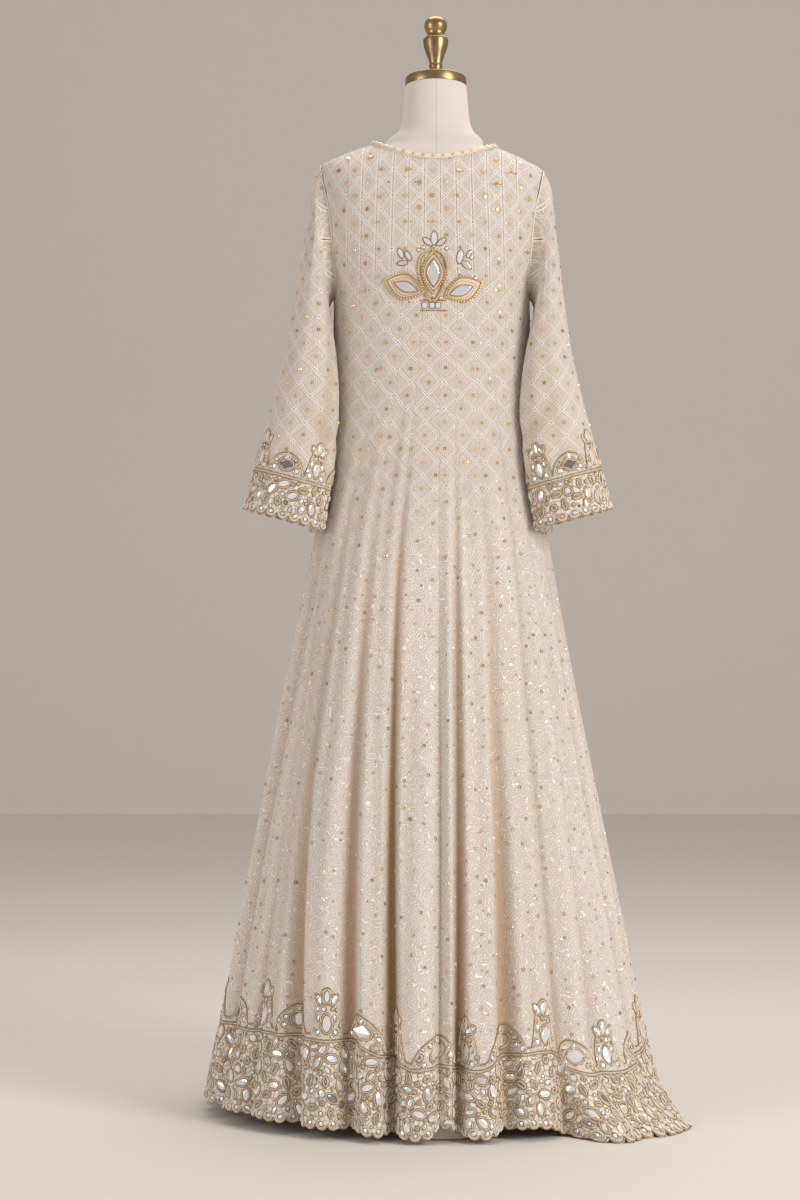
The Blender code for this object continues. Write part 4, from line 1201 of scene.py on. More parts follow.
def sleeveFold(turn, ring, hand):
    # lengthwise folds from the head, and a soft break at the elbow; always inwards
    turn = np.mod(turn, 2 * np.pi)
    grown = ease(0.3, 2.5, ring) * (1 - 0.35 * ease(7, 10, ring))
    wave = (0.5 + 0.5 * np.sin(3 * turn + 0.5 * ring + hand)) * 0.6
    wave = wave + (0.5 + 0.5 * np.sin(5 * turn - 0.35 * ring + 1.3 * hand)) * 0.4
    wave = wave + 0.5 * np.exp(-((turn - 1.25 - 0.03 * ring) / 0.16) ** 2) * ease(0.6, 2.0, ring)
    wave = wave + 0.6 * np.exp(-((turn - 2.3 + 0.02 * ring) / 0.2) ** 2) * ease(1.0, 3.0, ring)
    elbow = 0.7 * np.exp(-((ring - 5.2 - 0.5 * np.cos(turn - 2.2)) / 0.28) ** 2)
    elbow = elbow * (0.5 + 0.5 * np.cos(turn - 2.4))
    return sleeveWork["foldDepth"] * (wave * grown + elbow)


def sleevePoint(turn, ring, hand):
    turn, ring = np.broadcast_arrays(np.asarray(turn, float), np.asarray(ring, float))
    step = 0.03
    across = sleeveBase(turn + step, ring, hand) - sleeveBase(turn - step, ring, hand)
    down = sleeveBase(turn, ring + step, hand) - sleeveBase(turn, np.maximum(ring - step, 0), hand)
    inward = unit(np.cross(across, down)) * -hand
    return sleeveBase(turn, ring, hand) + inward * sleeveFold(turn, ring, hand)[..., None]


class CuffRun:
    # distances round and up a sleeve from its lower edge

    def __init__(self, hand):
        self.hand = hand
        self.turn = np.linspace(-np.pi, np.pi, 721)
        edge = sleevePoint(self.turn, np.full(721, 9.5), hand)
        self.s = np.concatenate([[0], np.cumsum(np.linalg.norm(np.diff(edge, axis=0), axis=1))])
        self.rings = np.linspace(10, 5, 101)
        turns = np.linspace(0, 2 * np.pi, 73)
        lines = np.array([sleevePoint(np.full(101, turn), self.rings, hand) for turn in turns])
        steps = np.linalg.norm(np.diff(lines, axis=1), axis=-1)
        self.up = np.concatenate([np.zeros((73, 1)), np.cumsum(steps, axis=1)], axis=1)

    def turnAt(self, s):
        return np.interp(np.mod(s, self.s[-1]), self.s, self.turn)

    def ringAt(self, turn, t):
        place = np.mod(turn, 2 * np.pi) / (2 * np.pi) * 72
        low = np.minimum(place.astype(int), 71)
        share = place - low
        rings = np.empty(len(t))
        for index in range(len(t)):
            line = self.up[low[index]] * (1 - share[index]) + self.up[low[index] + 1] * share[index]
            rings[index] = np.interp(t[index], line, self.rings)
        return rings

    def point(self, s, t):
        turn = self.turnAt(s)
        return sleevePoint(turn, self.ringAt(turn, np.maximum(t, 0)), self.hand)

    def place(self, s, t, lift=0.0):
        s, t = np.asarray(s, float), np.asarray(t, float)
        step = 0.0012
        middle = self.point(s, t)
        along = self.point(s + step, t) - self.point(s - step, t)
        up = self.point(s, t + step) - self.point(s, np.maximum(t - step, 0))
        out = unit(np.cross(along, up))
        axis = np.array([self.hand * 0.215, -0.042, 0.95])
        inside = axis + (middle - axis) * np.array([0, 0, 1])
        out = out * np.sign(np.sum(out * (middle - inside) * np.array([1, 1, 0.0]), axis=-1, keepdims=True))
        return middle + out * np.asarray(lift)[..., None], out, unit(along)


cuffRuns, sleeveGrids, pipings = {}, {}, []
for hand, word in ((-1, "left"), (1, "right")):
    turns = np.linspace(-np.pi, np.pi, sleeveWork["turns"] + 1)
    rows = np.linspace(0, cuffStart, sleeveWork["rows"])
    grid = np.array([sleevePoint(turns, np.full(len(turns), row), hand) for row in rows])
    steps = np.linalg.norm(np.diff(grid[..., :2], axis=1), axis=-1)
    around = np.concatenate([np.zeros((len(grid), 1)), np.cumsum(steps, axis=1)], axis=1)
    middle = np.argmin(np.abs(turns - np.pi / 2))     # the pattern is measured from the back of the arm
    uv = np.stack([around - around[:, middle:middle + 1], grid[..., 2]], axis=-1)
    fold = sleeveFold(*np.meshgrid(turns, rows), hand)
    # the sleeve's deepest folds get painted shade
    piece = clothWall(f"sleeve{word.capitalize()}", grid, uv, finishes["cloth"],
                      {"valley": np.clip(fold / sleeveWork["foldDepth"] - 0.75, 0, 1) * 0.35,
                       "seam": np.full(grid.shape[:2], 1.0)}, gown["clothThickness"], closed=True)
    declare(piece, ["sleeve_" + word])
    outs = gridNormals(grid, True)
    outs *= np.sign(np.sum(outs * (grid - grid.mean(axis=1, keepdims=True))))
    sleeveGrids[hand] = (grid, uv, outs)

    run = cuffRuns[hand] = CuffRun(hand)
    run.scallop = run.s[-1] / np.round(run.s[-1] / sleeveWork["scallopWide"])
    turns = np.linspace(-np.pi, np.pi, sleeveWork["cuffTurns"] + 1)
    s = np.interp(turns, run.turn, run.s)
    notch = scallopRise(s, run.scallop, sleeveWork["scallopDeep"])
    lowest = run.ringAt(turns, notch)
    lowest[-1] = lowest[0]
    grid, uv = [], []
    for down in sleeveWork["cuffRows"]:
        ring = cuffStart + 0.012 + (cuffEnd - 0.001 - cuffStart - 0.012) * down
        ring = ring + (lowest - (cuffEnd - 0.001)) * down**5
        grid.append(sleevePoint(turns, ring, hand))
        uv.append(np.stack([s, np.full(len(s), sleeveWork["cuffUp"] * (1 - down))], axis=-1))
    grid = np.array(grid)
    piece = clothWall(f"cuff{word.capitalize()}", grid, np.array(uv), finishes["border"],
                      {"valley": np.zeros(grid.shape[:2]), "seam": np.full(grid.shape[:2], 1.0)},
                      gown["clothThickness"], closed=True)
    declare(piece, ["cuff_" + word])
    ring = ringPoint(0, np.linspace(0, 2 * np.pi, 96, endpoint=False), hand)
    away = unit((ring - ring.mean(axis=0)) * np.array([0, 1, 1]))
    pipings.append((ring + away * sleeveWork["pipingOut"], away, True, 1.0))
print("sleeves made")

# Lining flap and neck bindings.


def backOutline(share, z, inset):
    share, z = np.broadcast_arrays(np.asarray(share, float), np.asarray(z, float))
    x, y = outlineAt("x", share, z, back), outlineAt("y", share, z, back)
    out = outward(x, y, z, back)
    points = np.stack([x + section("centreX", z), y, z], axis=-1)
    return points - out * np.array([1, 1, 0]) * np.asarray(inset)[..., None]


liningWork = {"from": -0.13, "to": 0.24, "top": 0.100, "low": 0.0008, "inset": 0.0458, "endRise": 0.05,
              "columns": 61, "rows": 15}
linShares, linZ = np.meshgrid(np.linspace(liningWork["from"], liningWork["to"], liningWork["columns"]),
                              np.linspace(liningWork["top"], liningWork["low"], liningWork["rows"]))
# the lower edge rises towards both ends
linEnds = abs(2 * (linShares - liningWork["from"]) / (liningWork["to"] - liningWork["from"]) - 1) ** 4
linZ = linZ + liningWork["endRise"] * linEnds * (liningWork["top"] - linZ) / liningWork["top"]
linWave = 0.0016 * np.sin(linShares * 70 + linZ * 12) * ease(liningWork["top"], 0.02, linZ)
liningGrid = backOutline(linShares, linZ, liningWork["inset"] + 0.0016 + linWave)
liningUv = np.stack([linShares, linZ], axis=-1)
liningPiece = clothWall("hemLining", liningGrid, liningUv, finishes["lining"], {}, 0.0010)
declare(liningPiece, ["lining_hem"])

cordWork("armholePiping", pipings, finishes["ivoryCord"], 0.0012, 6)

bindingWork = {"round": 0.0036, "columns": 161, "sequinApart": 0.0155, "sequinSize": 0.0031,
               "shares": (0, 0.06, 0.16, 0.3, 0.45, 0.6, 0.75, 0.88, 0.96, 1.0)}
bindingSequins = []
for side in (back, front):
    place = np.sin(np.linspace(-np.pi / 2, np.pi / 2, bindingWork["columns"]))
    grid = []
    for share in bindingWork["shares"]:
        lift = gown["seamGap"] / 2 + (gown["bindingWidth"] - gown["seamGap"] / 2) * share
        x = (gown["neckHalfWidth"] - 0.92 * lift) * place
        grid.append(bodiceFrom(x, necklineZ(x, side, lift), side))
    grid = np.array(grid)
    normals = gridNormals(grid)
    normals *= np.sign(np.sum(normals * grid * np.array([1, 1, 0])))
    roundness = np.sqrt(np.clip(1 - (2 * np.array(bindingWork["shares"]) - 1) ** 2, 0, 1))
    grid = grid + normals * (0.0002 + bindingWork["round"] * roundness)[:, None, None]
    word = sideWord[side]
    piece = clothWall(f"binding{word.capitalize()}", grid, np.zeros((*grid.shape[:2], 2)),
                      finishes["binding"], {}, 0.0014)
    declare(piece, ["binding_" + word])
    middle = grid[4]
    reach = np.concatenate([[0], np.cumsum(np.linalg.norm(np.diff(middle, axis=0), axis=1))])
    stops = np.arange(bindingWork["sequinApart"] / 2, reach[-1], bindingWork["sequinApart"])
    spots = np.stack([np.interp(stops, reach, middle[:, axis]) for axis in range(3)], axis=1)
    outs = unit(np.stack([np.interp(stops, reach, normals[4][:, axis]) for axis in range(3)], axis=1))
    count = len(stops)
    bindingSequins.append((spots + outs * 0.0002, outs, np.tile([1.0, 0, 0], (count, 1)),
                           np.full((count, 3), bindingWork["sequinSize"]) * np.array([1, 1, 0.4]),
                           np.full(count, 0.25)))
setWork("bindingSequins", bindingSequins, shapes["dish"], finishes["sequin"])
print("neck finished")

# Rings and foil sequins sewn on the gown and sleeves.

sequinWork = {"ring": 0.0027, "dot": 0.0015, "foil": 0.0042, "foilFrom": 1.385, "brightFrom": 1.13}


def levelLine(grid, uv, normals, v):
    # the gore's own line at height v: u, points and directions, column by column
    heights = uv[..., 1]
    cols = heights.shape[1]
    u, points, outs = np.empty(cols), np.empty((cols, 3)), np.empty((cols, 3))
    for col in range(cols):
        order = -heights[:, col]
        u[col] = np.interp(-v, order, uv[:, col, 0])
        for axis in range(3):
            points[col, axis] = np.interp(-v, order, grid[:, col, axis])
            outs[col, axis] = np.interp(-v, order, normals[:, col, axis])
    known = (heights[0] > v) & (heights[-1] < v)
    return u, points, unit(outs), known


def sewOn(grid, uv, normals, spots):
    # spots: (u, v) pairs; those that fall on the grid come back as points and directions
    found = []
    for v in sorted({spot[1] for spot in spots}):
        u, points, outs, known = levelLine(grid, uv, normals, v)
        for spot in spots:
            if spot[1] == v and u[0] + 0.002 < spot[0] < u[-1] - 0.002:
                if known[min(np.searchsorted(u, spot[0]), len(u) - 1)]:
                    at = [np.interp(spot[0], u, points[:, axis]) for axis in range(3)]
                    out = [np.interp(spot[0], u, outs[:, axis]) for axis in range(3)]
                    found.append((at, out, spot))
    return found


def stepped(shift):
    # heights move in steps of 2 mm, so that many spots share a level line
    return round(shift * 500) / 500


def trellisSpots(low, high, left, right, seed):
    wide, tall = clothLook["cellWide"] / 2, clothLook["cellHigh"] / 2
    chance = np.random.default_rng(seed)
    rings, dots = [], []
    for n in range(int(np.ceil(low / tall)), int(high / tall) + 1):
        v = n * tall
        for m in range(int(np.ceil(left / wide)), int(right / wide) + 1):
            spot = (m * wide, v)
            if (m + n) % 2:
                if v > 0.95 or chance.random() < 0.75:
                    loose = 0.0006 if v > 0.95 else 0.0045
                    rings.append((m * wide + chance.normal(0, loose), v + stepped(chance.normal(0, loose))))
                if chance.random() < (0.22 if v > sequinWork["brightFrom"] else 0.05):
                    dots += [(spot[0] + dx, v) for dx in (-0.0068, 0.0068)]
                    dots += [(spot[0], v + 0.0068)]
            elif v < 0.98 and chance.random() < 0.8:
                dots.append((spot[0] + chance.normal(0, 0.004), v + stepped(chance.normal(0, 0.004))))
    return rings, dots


def packSpots(found, size, lift, seed, thick=1.0):
    if not found:
        return None
    chance = np.random.default_rng(seed)
    points = np.array([entry[0] for entry in found])
    outs = unit(np.array([entry[1] for entry in found]))
    count = len(found)
    sizes = size * chance.uniform(0.85, 1.15, (count, 1)) * np.array([1, 1, thick])
    turn = chance.uniform(0, 2 * np.pi, count)
    along = np.stack([np.cos(turn), np.sin(turn) * 0.2, np.sin(turn)], axis=1)
    along = unit(along - outs * np.sum(along * outs, axis=1, keepdims=True))
    tilted = unit(outs + chance.normal(0, 0.10, (count, 3)))
    return points + outs * lift, tilted, along, sizes, chance.random(count) ** 1.5


ringSets, dotSets = {back: [], front: [], "sleeve": []}, {back: [], front: [], "sleeve": []}
foilSets = []
for (side, number), (parts, grid, uv, normals) in goreGrids.items():
    seed = 100 + number + (0 if side == back else 50)
    low, high = uv[-1, :, 1].min() + 0.01, uv[0, :, 1].max()
    rings, dots = trellisSpots(low, high, uv[..., 0].min(), uv[..., 0].max(), seed)
    foil = [spot for spot in rings if spot[1] > sequinWork["foilFrom"]]
    rings = [spot for spot in rings if spot[1] <= sequinWork["foilFrom"]]
    for store, spots, size, thick in ((ringSets[side], rings, sequinWork["ring"], 1),
                                      (dotSets[side], dots, sequinWork["dot"], 1),
                                      (foilSets, foil, sequinWork["foil"], 0.25)):
        packed = packSpots(sewOn(grid, uv, normals, spots), size, 0.0001, seed, thick)
        if packed:
            store.append(packed)

for hand, (grid, uv, outs) in sleeveGrids.items():
    rings, dots = trellisSpots(0.90, 1.45, uv[..., 0].min(), uv[..., 0].max(), 300 + hand)
    for store, spots, size in ((ringSets, rings, sequinWork["ring"]),
                               (dotSets, dots[::2], sequinWork["dot"])):
        store["sleeve"].append(packSpots(sewOn(grid, uv, outs, spots), size, 0.0001, 310 + hand))
for key, word in ((back, "Back"), (front, "Front"), ("sleeve", "Sleeve")):
    setWork("ringSequins" + word, ringSets[key], shapes["ring"], finishes["sequin"])
    if dotSets[key]:
        setWork("dotSequins" + word, dotSets[key], shapes["dish"], finishes["sequin"])
setWork("foilSequins", foilSets, shapes["diamond"], finishes["sequin"])
print("sequins sewn on")

# Mirror and cord work is packed by a seed in (s, t), then laid on the cloth.

Item = namedtuple("Item", "kind s t long wide turn tint")
workSizes = (
    ("leaf", 0.0088, 0.0046, 0.10), ("drop", 0.0080, 0.0044, 0.12), ("round", 0.0050, 0.0050, 0.12),
    ("diamond", 0.0056, 0.0046, 0.10), ("leaf", 0.0060, 0.0030, 0.26), ("drop", 0.0052, 0.0030, 0.20),
    ("round", 0.0030, 0.0030, 0.36), ("round", 0.0019, 0.0019, 0.30),
)


def packWork(length, inside, seed, fixed):
    # fills the ground that inside() allows with items of several sizes, none touching; tint -1 has no mirror,
    # and the other tints set how dark each mirror's painted reflection is
    chance = np.random.default_rng(seed)
    items = list(fixed)
    used = np.zeros((6000, 3))
    used[:len(items)] = [(item.s, item.t, max(item.long, item.wide) * 1.3) for item in items]
    for kind, long, wide, weight in workSizes:
        reach = (long * wide) ** 0.5 * 1.45 + 0.0010
        tries = int(weight * length * 0.16 / (np.pi * reach**2) * 14)
        s, t = chance.random(tries) * length, 0.012 + chance.random(tries) * 0.19
        allowed = inside(s, t, reach)
        for a, b in zip(s[allowed], t[allowed]):
            known = used[:len(items)]
            if np.all((known[:, 0] - a) ** 2 + (known[:, 1] - b) ** 2 > (reach + known[:, 2]) ** 2 * 0.88):
                used[len(items)] = a, b, reach
                tint = chance.choice([-1.0, 0.0, 0.12, 0.3, 0.8], p=[0.42, 0.27, 0.15, 0.09, 0.07])
                longer = long * chance.uniform(0.88, 1.1)
                items.append(Item(kind, a, b, longer, wide, chance.uniform(0, np.pi), tint))
    return items


outlineKinds = {"leaf": leafOutline, "drop": dropOutline}


def itemLine(item, share, count):
    # closed line round an item, in (s, t)
    turn = np.linspace(0, 2 * np.pi, count, endpoint=False)
    if item.kind in outlineKinds:
        x, y = outlineKinds[item.kind](turn)
        y = y / 0.62
    else:
        x, y = np.cos(turn), np.sin(turn)
    p = x * (item.long + share)
    q = y * (item.wide + share)
    c, s = np.cos(item.turn), np.sin(item.turn)
    return item.s + p * c - q * s, item.t + p * s + q * c


class Trim:
    # gathers cords and mirrors laid on one piece of cloth

    def __init__(self, surface):
        self.surface = surface
        self.gold, self.ivory = [], []
        self.settings = {kind: [] for kind in ("round", "diamond", "leaf", "drop")}

    def cord(self, s, t, colour="gold", closed=True, share=1.0, lift=0.0007):
        cords = self.gold if colour == "gold" else self.ivory
        cords.append((np.asarray(s), np.asarray(t), closed, share, lift))

    def mirror(self, item):
        self.settings[item.kind].append(item)

    def laid(self, cords):
        s, t = (np.concatenate([cord[axis] for cord in cords]) for axis in range(2))
        lift = np.concatenate([np.full(len(cord[0]), cord[3] * cord[4]) for cord in cords])
        points, outs, _ = self.surface(s, t, lift)
        ends = np.cumsum([len(cord[0]) for cord in cords])[:-1]
        return [(line, out, cord[2], cord[3])
                for line, out, cord in zip(np.split(points, ends), np.split(outs, ends), cords)]

    def build(self, name):
        for kind, items in self.settings.items():
            if items:
                s, t = np.array(column(items, "s")), np.array(column(items, "t"))
                points, outs, along = self.surface(s, t, 0.0001)
                turn = np.array(column(items, "turn"))[:, None]
                alongs = along * np.cos(turn) + np.cross(outs, along) * np.sin(turn)
                wide = np.array(column(items, "wide")) / (0.62 if kind in outlineKinds else 1.0)
                sizes = np.stack([column(items, "long"), wide, np.full(len(items), 0.0014)], axis=1)
                setWork(f"{name}{kind.capitalize()}Mirrors",
                        [(points, outs, alongs, sizes, np.array(column(items, "tint")))], shapes[kind],
                        finishes["mirror"])
        cordWork(name + "GoldCord", self.laid(self.gold), finishes["goldCord"], 0.0010, 3)
        cordWork(name + "IvoryCord", self.laid(self.ivory), finishes["ivoryCord"], 0.0010, 3)


def bump(s, centre, wide, tall, shape):
    return tall * np.clip(1 - np.abs((s - centre) / wide) ** 2, 0, 1) ** shape


def contourOf(s, motifs, least):
    # how far the worked edge stands above the double line
    rise = np.full(np.shape(s), least)
    for kind, centre, wide, tall in motifs:
        rise = np.maximum(rise, bump(s, centre, wide, tall, 0.55 if kind == "arch" else 0.9))
    return rise


def archItems(centre, base, wide, tall):
    tint = 0.05 if wide > 0.04 else 0.9      # the cuffs' large mirrors get a dark painted reflection
    return [Item("diamond", centre, base + tall * 0.50, wide * 0.34, tall * 0.22, 0.0, tint),
            Item("round", centre - wide * 0.62, base + tall * 0.30, 0.0034, 0.0034, 0.0, 0.2),
            Item("round", centre + wide * 0.62, base + tall * 0.30, 0.0034, 0.0034, 0.0, 0.0),
            Item("drop", centre, base + tall * 0.85, 0.0034, 0.0028, 1.57, 0.1)]


def crownItems(centre, base, wide, tall):
    items = [Item("leaf", centre, base + tall * 0.32, tall * 0.17, tall * 0.085, 1.57, 0.05)]
    for turn, long in ((90, 0.12), (132, 0.10), (48, 0.10)):
        angle = np.radians(turn)
        s, t = centre + np.cos(angle) * tall * 0.24, base + tall * (0.60 + 0.24 * np.sin(angle))
        items.append(Item("leaf", s, t, tall * long, tall * long * 0.42, angle, 0.0))
    for hand in (-1, 1):
        items.append(Item("round", centre + hand * wide * 0.55, base + tall * 0.14, 0.0036, 0.0036, 0.0, 0.1))
        items.append(Item("drop", centre + hand * wide * 0.50, base + tall * 0.42, 0.0046, 0.0028, 1.57, 0.3))
    return items


def bandWork(trim, length, band, scallop, seed, motifs, least):
    # double line, scallops with their mirrors, and packed work up to the contour of arches and crowns
    rows = np.linspace(0, length, int(length / 0.0035))
    for colour, at, share in (("gold", -0.0035, 0.8), ("ivory", -0.0013, 1.0), ("gold", 0.0009, 0.8)):
        trim.cord(rows, band(rows) + at, colour, closed=False, share=share)
    edge = band(rows) + contourOf(rows, motifs, least)
    for colour, at, share in (("gold", 0.0012, 1.35), ("ivory", -0.0012, 1.15)):
        trim.cord(rows, edge + at, colour, closed=False, share=share)
    fixed = []
    for number in range(int(round(length / scallop))):
        middle = (number + 0.5) * scallop
        fixed.append(Item("round", middle, 0.0090, 0.0030, 0.0030, 0.0, (number * 7 % 5) / 12))
        turn = np.linspace(np.pi * 1.03, np.pi * 1.97, 7)
        for colour, radius, share in (("gold", 0.475, 1.0), ("ivory", 0.38, 1.5), ("gold", 0.28, 0.7)):
            s, t = np.cos(turn) * scallop * radius, np.sin(turn) * scallop * radius * 0.9
            trim.cord(middle + s, 0.0088 + t, colour, closed=False, share=share)
    for kind, centre, wide, tall in motifs:
        base = float(band(np.array([centre]))[0])
        fixed += (archItems if kind == "arch" else crownItems)(centre, base, wide, tall)

    def inside(s, t, reach):
        low = (t > 0.0135 + reach * 0.6) & (t < band(s) - 0.004 - reach * 0.8)
        high = (t > band(s) + 0.002 + reach * 0.8) & (t < band(s) + contourOf(s, motifs, least) - reach)
        return low | high

    for item in packWork(length, inside, seed, fixed):
        large = item.long > 0.0055
        if item.tint < 0:
            # a cell of cord alone, one line inside another
            trim.cord(*itemLine(item, 0.0012, 9), share=0.8)
            trim.cord(*itemLine(item, -item.wide * 0.25, 8), "ivory", share=1.2)
            trim.cord(*itemLine(item, -item.wide * 0.68, 6), share=0.7)
            continue
        trim.mirror(item)
        trim.cord(*itemLine(item, 0.0006, 10 if large else 7), share=0.75)
        if item.long > 0.0026:
            trim.cord(*itemLine(item, 0.0021, 10 if large else 8), "ivory", share=1.15)
        if large:
            trim.cord(*itemLine(item, 0.0038, 11), share=0.8)


hemWork = {"crownApart": 0.164, "crownTall": 0.074, "crownWide": 0.026, "archTall": 0.042, "archWide": 0.044,
           "least": 0.007}
for side in (back, front):
    run = hemRuns[side]

    def bandAt(s, run=run, side=side):
        gore = run.goreAt(s)
        return borderTop(gore, side) - hemZ(gore, side)

    trim = Trim(run.place)
    count = int(round(run.s[-1] / hemWork["crownApart"]))
    apart = run.s[-1] / count
    motifs = [("crown", (i + 0.5) * apart, hemWork["crownWide"], hemWork["crownTall"]) for i in range(count)]
    motifs += [("arch", i * apart, hemWork["archWide"], hemWork["archTall"]) for i in range(1, count)]
    bandWork(trim, run.s[-1], bandAt, run.scallop, 500 + side, motifs, hemWork["least"])
    trim.build("hem" + sideWord[side].capitalize())
    print("hem work", sideWord[side], "mirrors:", sum(len(items) for items in trim.settings.values()))

cuffWork = {"crownTall": 0.062, "crownWide": 0.022, "archTall": 0.034, "archWide": 0.032, "least": 0.006,
            "band": 0.0665, "crowns": 4}


def cuffBand(s):
    return np.full(np.shape(s), cuffWork["band"])



for hand, word in ((-1, "Left"), (1, "Right")):
    run = cuffRuns[hand]
    trim = Trim(run.place)
    length = run.s[-1]
    crownAt = float(np.interp(0.55, run.turn, run.s))
    motifs = []
    for kind, shift in (("crown", 0.0), ("arch", 0.5)):
        for i in range(cuffWork["crowns"]):
            centre = (crownAt + (i + shift) * length / cuffWork["crowns"]) % length
            motifs.append((kind, centre, cuffWork[kind + "Wide"], cuffWork[kind + "Tall"]))
    bandWork(trim, length, cuffBand, run.scallop, 700 + hand, motifs, cuffWork["least"])
    trim.build("cuff" + word)
print("cuff work made")

# The motif between the shoulder blades is placed in x and z on the back.

motifX, motifZ = 0.0015, 1.2905


def backSurface(x, z, lift):
    x, z = np.asarray(x, float), np.asarray(z, float)
    step = 0.0008
    middle = bodiceFrom(x, z, back)
    along = bodiceFrom(x + step, z, back) - bodiceFrom(x - step, z, back)
    up = bodiceFrom(x, z + step, back) - bodiceFrom(x, z - step, back)
    out = unit(np.cross(along, up))
    out = out * np.sign(-out[..., 1:2])
    return middle + out * np.asarray(lift)[..., None], out, unit(along)


def lensLine(dx, dz, halfLong, halfWide, turn, count=28, point=1.0):
    # an eye shape: two arcs that meet at its ends
    a = np.cos(np.linspace(0, 2 * np.pi, count, endpoint=False))
    b = np.sign(np.sin(np.linspace(0, 2 * np.pi, count, endpoint=False)))
    half = halfWide * np.maximum(0.0, 1 - np.abs(a) ** 1.7) ** point
    c, s = np.cos(np.radians(turn)), np.sin(np.radians(turn))
    p, q = a * halfLong, b * half
    return motifX + dx + p * c - q * s, motifZ + dz + p * s + q * c


def plateOn(name, line, material, nodes, thickness, dome, lift):
    # a thin plate over the back, its outline given in x and z
    x, z = line
    middle = (x.mean(), z.mean())
    points, count = [], len(x)
    levels = [(1.0, 0.0), (1.0, 0.55), (0.96, 0.85), (0.80, 1.0), (0.4, 1.0 + dome * 0.7)]
    for share, height in levels:
        at, _, _ = backSurface(middle[0] + (x - middle[0]) * share, middle[1] + (z - middle[1]) * share,
                               lift + thickness * height)
        points += at.tolist()
    faces = ringFaces(len(levels), count)
    top, _, _ = backSurface(np.array([middle[0]]), np.array([middle[1]]), lift + thickness * (1.0 + dome))
    low, _, _ = backSurface(np.array([middle[0]]), np.array([middle[1]]), lift)
    points += top.tolist() + low.tolist()
    last = (len(levels) - 1) * count
    faces += [(last + i, last + (i + 1) % count, len(points) - 2) for i in range(count)]
    faces += [((i + 1) % count, i, len(points) - 1) for i in range(count)]
    if signedVolume(points, faces) < 0:
        faces = [face[::-1] for face in faces]
    made = makeMesh(name, points, faces, material, values={"tint": np.full(len(points), 0.25)})
    return declare(made, nodes)


motifTrim = Trim(backSurface)
motifParts = (
    ("Centre", "centre", 0.0, -0.0010, 0.0300, 0.0160, 90, (-0.0003, -0.0020, 0.0200, 0.0092, 90)),
    ("Left", "left", -0.0445, -0.0215, 0.0290, 0.0180, -20, (-0.0417, -0.0228, 0.0180, 0.0070, -20)),
    ("Right", "right", 0.0460, -0.0260, 0.0290, 0.0175, 22, (0.0420, -0.0285, 0.0180, 0.0072, 21)),
)
beads = []
for word, node, dx, dz, halfLong, halfWide, turn, glass in motifParts:
    plateOn("medallion" + word, lensLine(dx, dz, halfLong, halfWide, turn), finishes["patch"],
            ["medallion_" + node], 0.0012, 0.2, 0.0004)
    plateOn("motifMirror" + word, lensLine(*glass), finishes["mirror"], ["mirror_" + node],
            0.0016, 0.15, 0.0017)
    for step, (colour, thick) in enumerate((("gold", 1.5), ("ivory", 1.2), ("gold", 1.0), ("ivory", 0.8))):
        share = 1 - step * 0.115
        line = lensLine(dx + (glass[0] - dx) * step * 0.25, dz + (glass[1] - dz) * step * 0.25,
                        halfLong * share, halfWide * share, turn, 36)
        motifTrim.cord(*line, colour, share=thick, lift=0.0012)
    rim = lensLine(glass[0], glass[1], glass[2] + 0.0014, glass[3] + 0.0012, glass[4], 36)
    motifTrim.cord(*rim, "gold", share=1.1, lift=0.0018)
    beads.append(lensLine(dx, dz, halfLong + 0.0018, halfWide + 0.0016, turn, 46))
# the wide drop round the centre eye
dropTurn = np.linspace(0, 2 * np.pi, 64, endpoint=False)
dropWide = 0.0245 * (1 - 0.42 * np.cos(dropTurn / 2 + np.pi / 2) ** 2)
dropWide = dropWide * np.where(np.cos(dropTurn) > 0, 1.0, 1 - 0.35 * np.cos(dropTurn) ** 2)
dropX = motifX - 0.001 + dropWide * np.sin(dropTurn)
dropZ = motifZ - 0.003 + np.where(np.cos(dropTurn) > 0, 0.036, 0.042) * np.cos(dropTurn)
motifTrim.cord(dropX, dropZ, "gold", share=1.4, lift=0.0012)
beads.append((dropX + 0.0018 * np.sign(np.sin(dropTurn)), dropZ))
for shift in (-0.0085, 0.0085):
    x, z = motifX + np.linspace(-0.020, 0.020, 14), np.full(14, motifZ - 0.0515 + shift * 0.9)
    motifTrim.cord(x, z, "gold", closed=False, share=1.2)


def sprig(dx, dz, leaves):
    for shiftX, shiftZ, turn, long, tint in leaves:
        x, z = motifX + dx + shiftX, motifZ + dz + shiftZ
        item = Item("leaf", x, z, long, long * 0.42, np.radians(turn), tint)
        motifTrim.mirror(item)
        motifTrim.cord(*itemLine(item, 0.0009, 14), share=0.8)


sprig(0.001, 0.0400, ((0.0, 0.0110, 90, 0.0105, 0.0), (-0.0100, 0.0055, 140, 0.0085, 0.1),
                      (0.0110, 0.0050, 38, 0.0085, 0.2)))
sprig(-0.0440, 0.0210, ((-0.0060, 0.0070, 112, 0.0078, 0.0), (0.0055, 0.0030, 118, 0.0078, 0.1),
                        (-0.0030, -0.0075, 6, 0.0078, 0.3)))
sprig(0.0440, 0.0180, ((-0.0035, 0.0050, 82, 0.0105, 0.0), (0.0060, -0.0075, -38, 0.0090, 0.3),
                       (0.0100, 0.0090, 60, 0.0060, 0.1)))
for shift in (-0.0125, -0.0010, 0.0080):
    item = Item("diamond", motifX + shift - 0.001, motifZ - 0.0515, 0.0052, 0.0052, 0.785, 0.05)
    motifTrim.mirror(item)
    motifTrim.cord(*itemLine(item, 0.0008, 4), share=0.7)
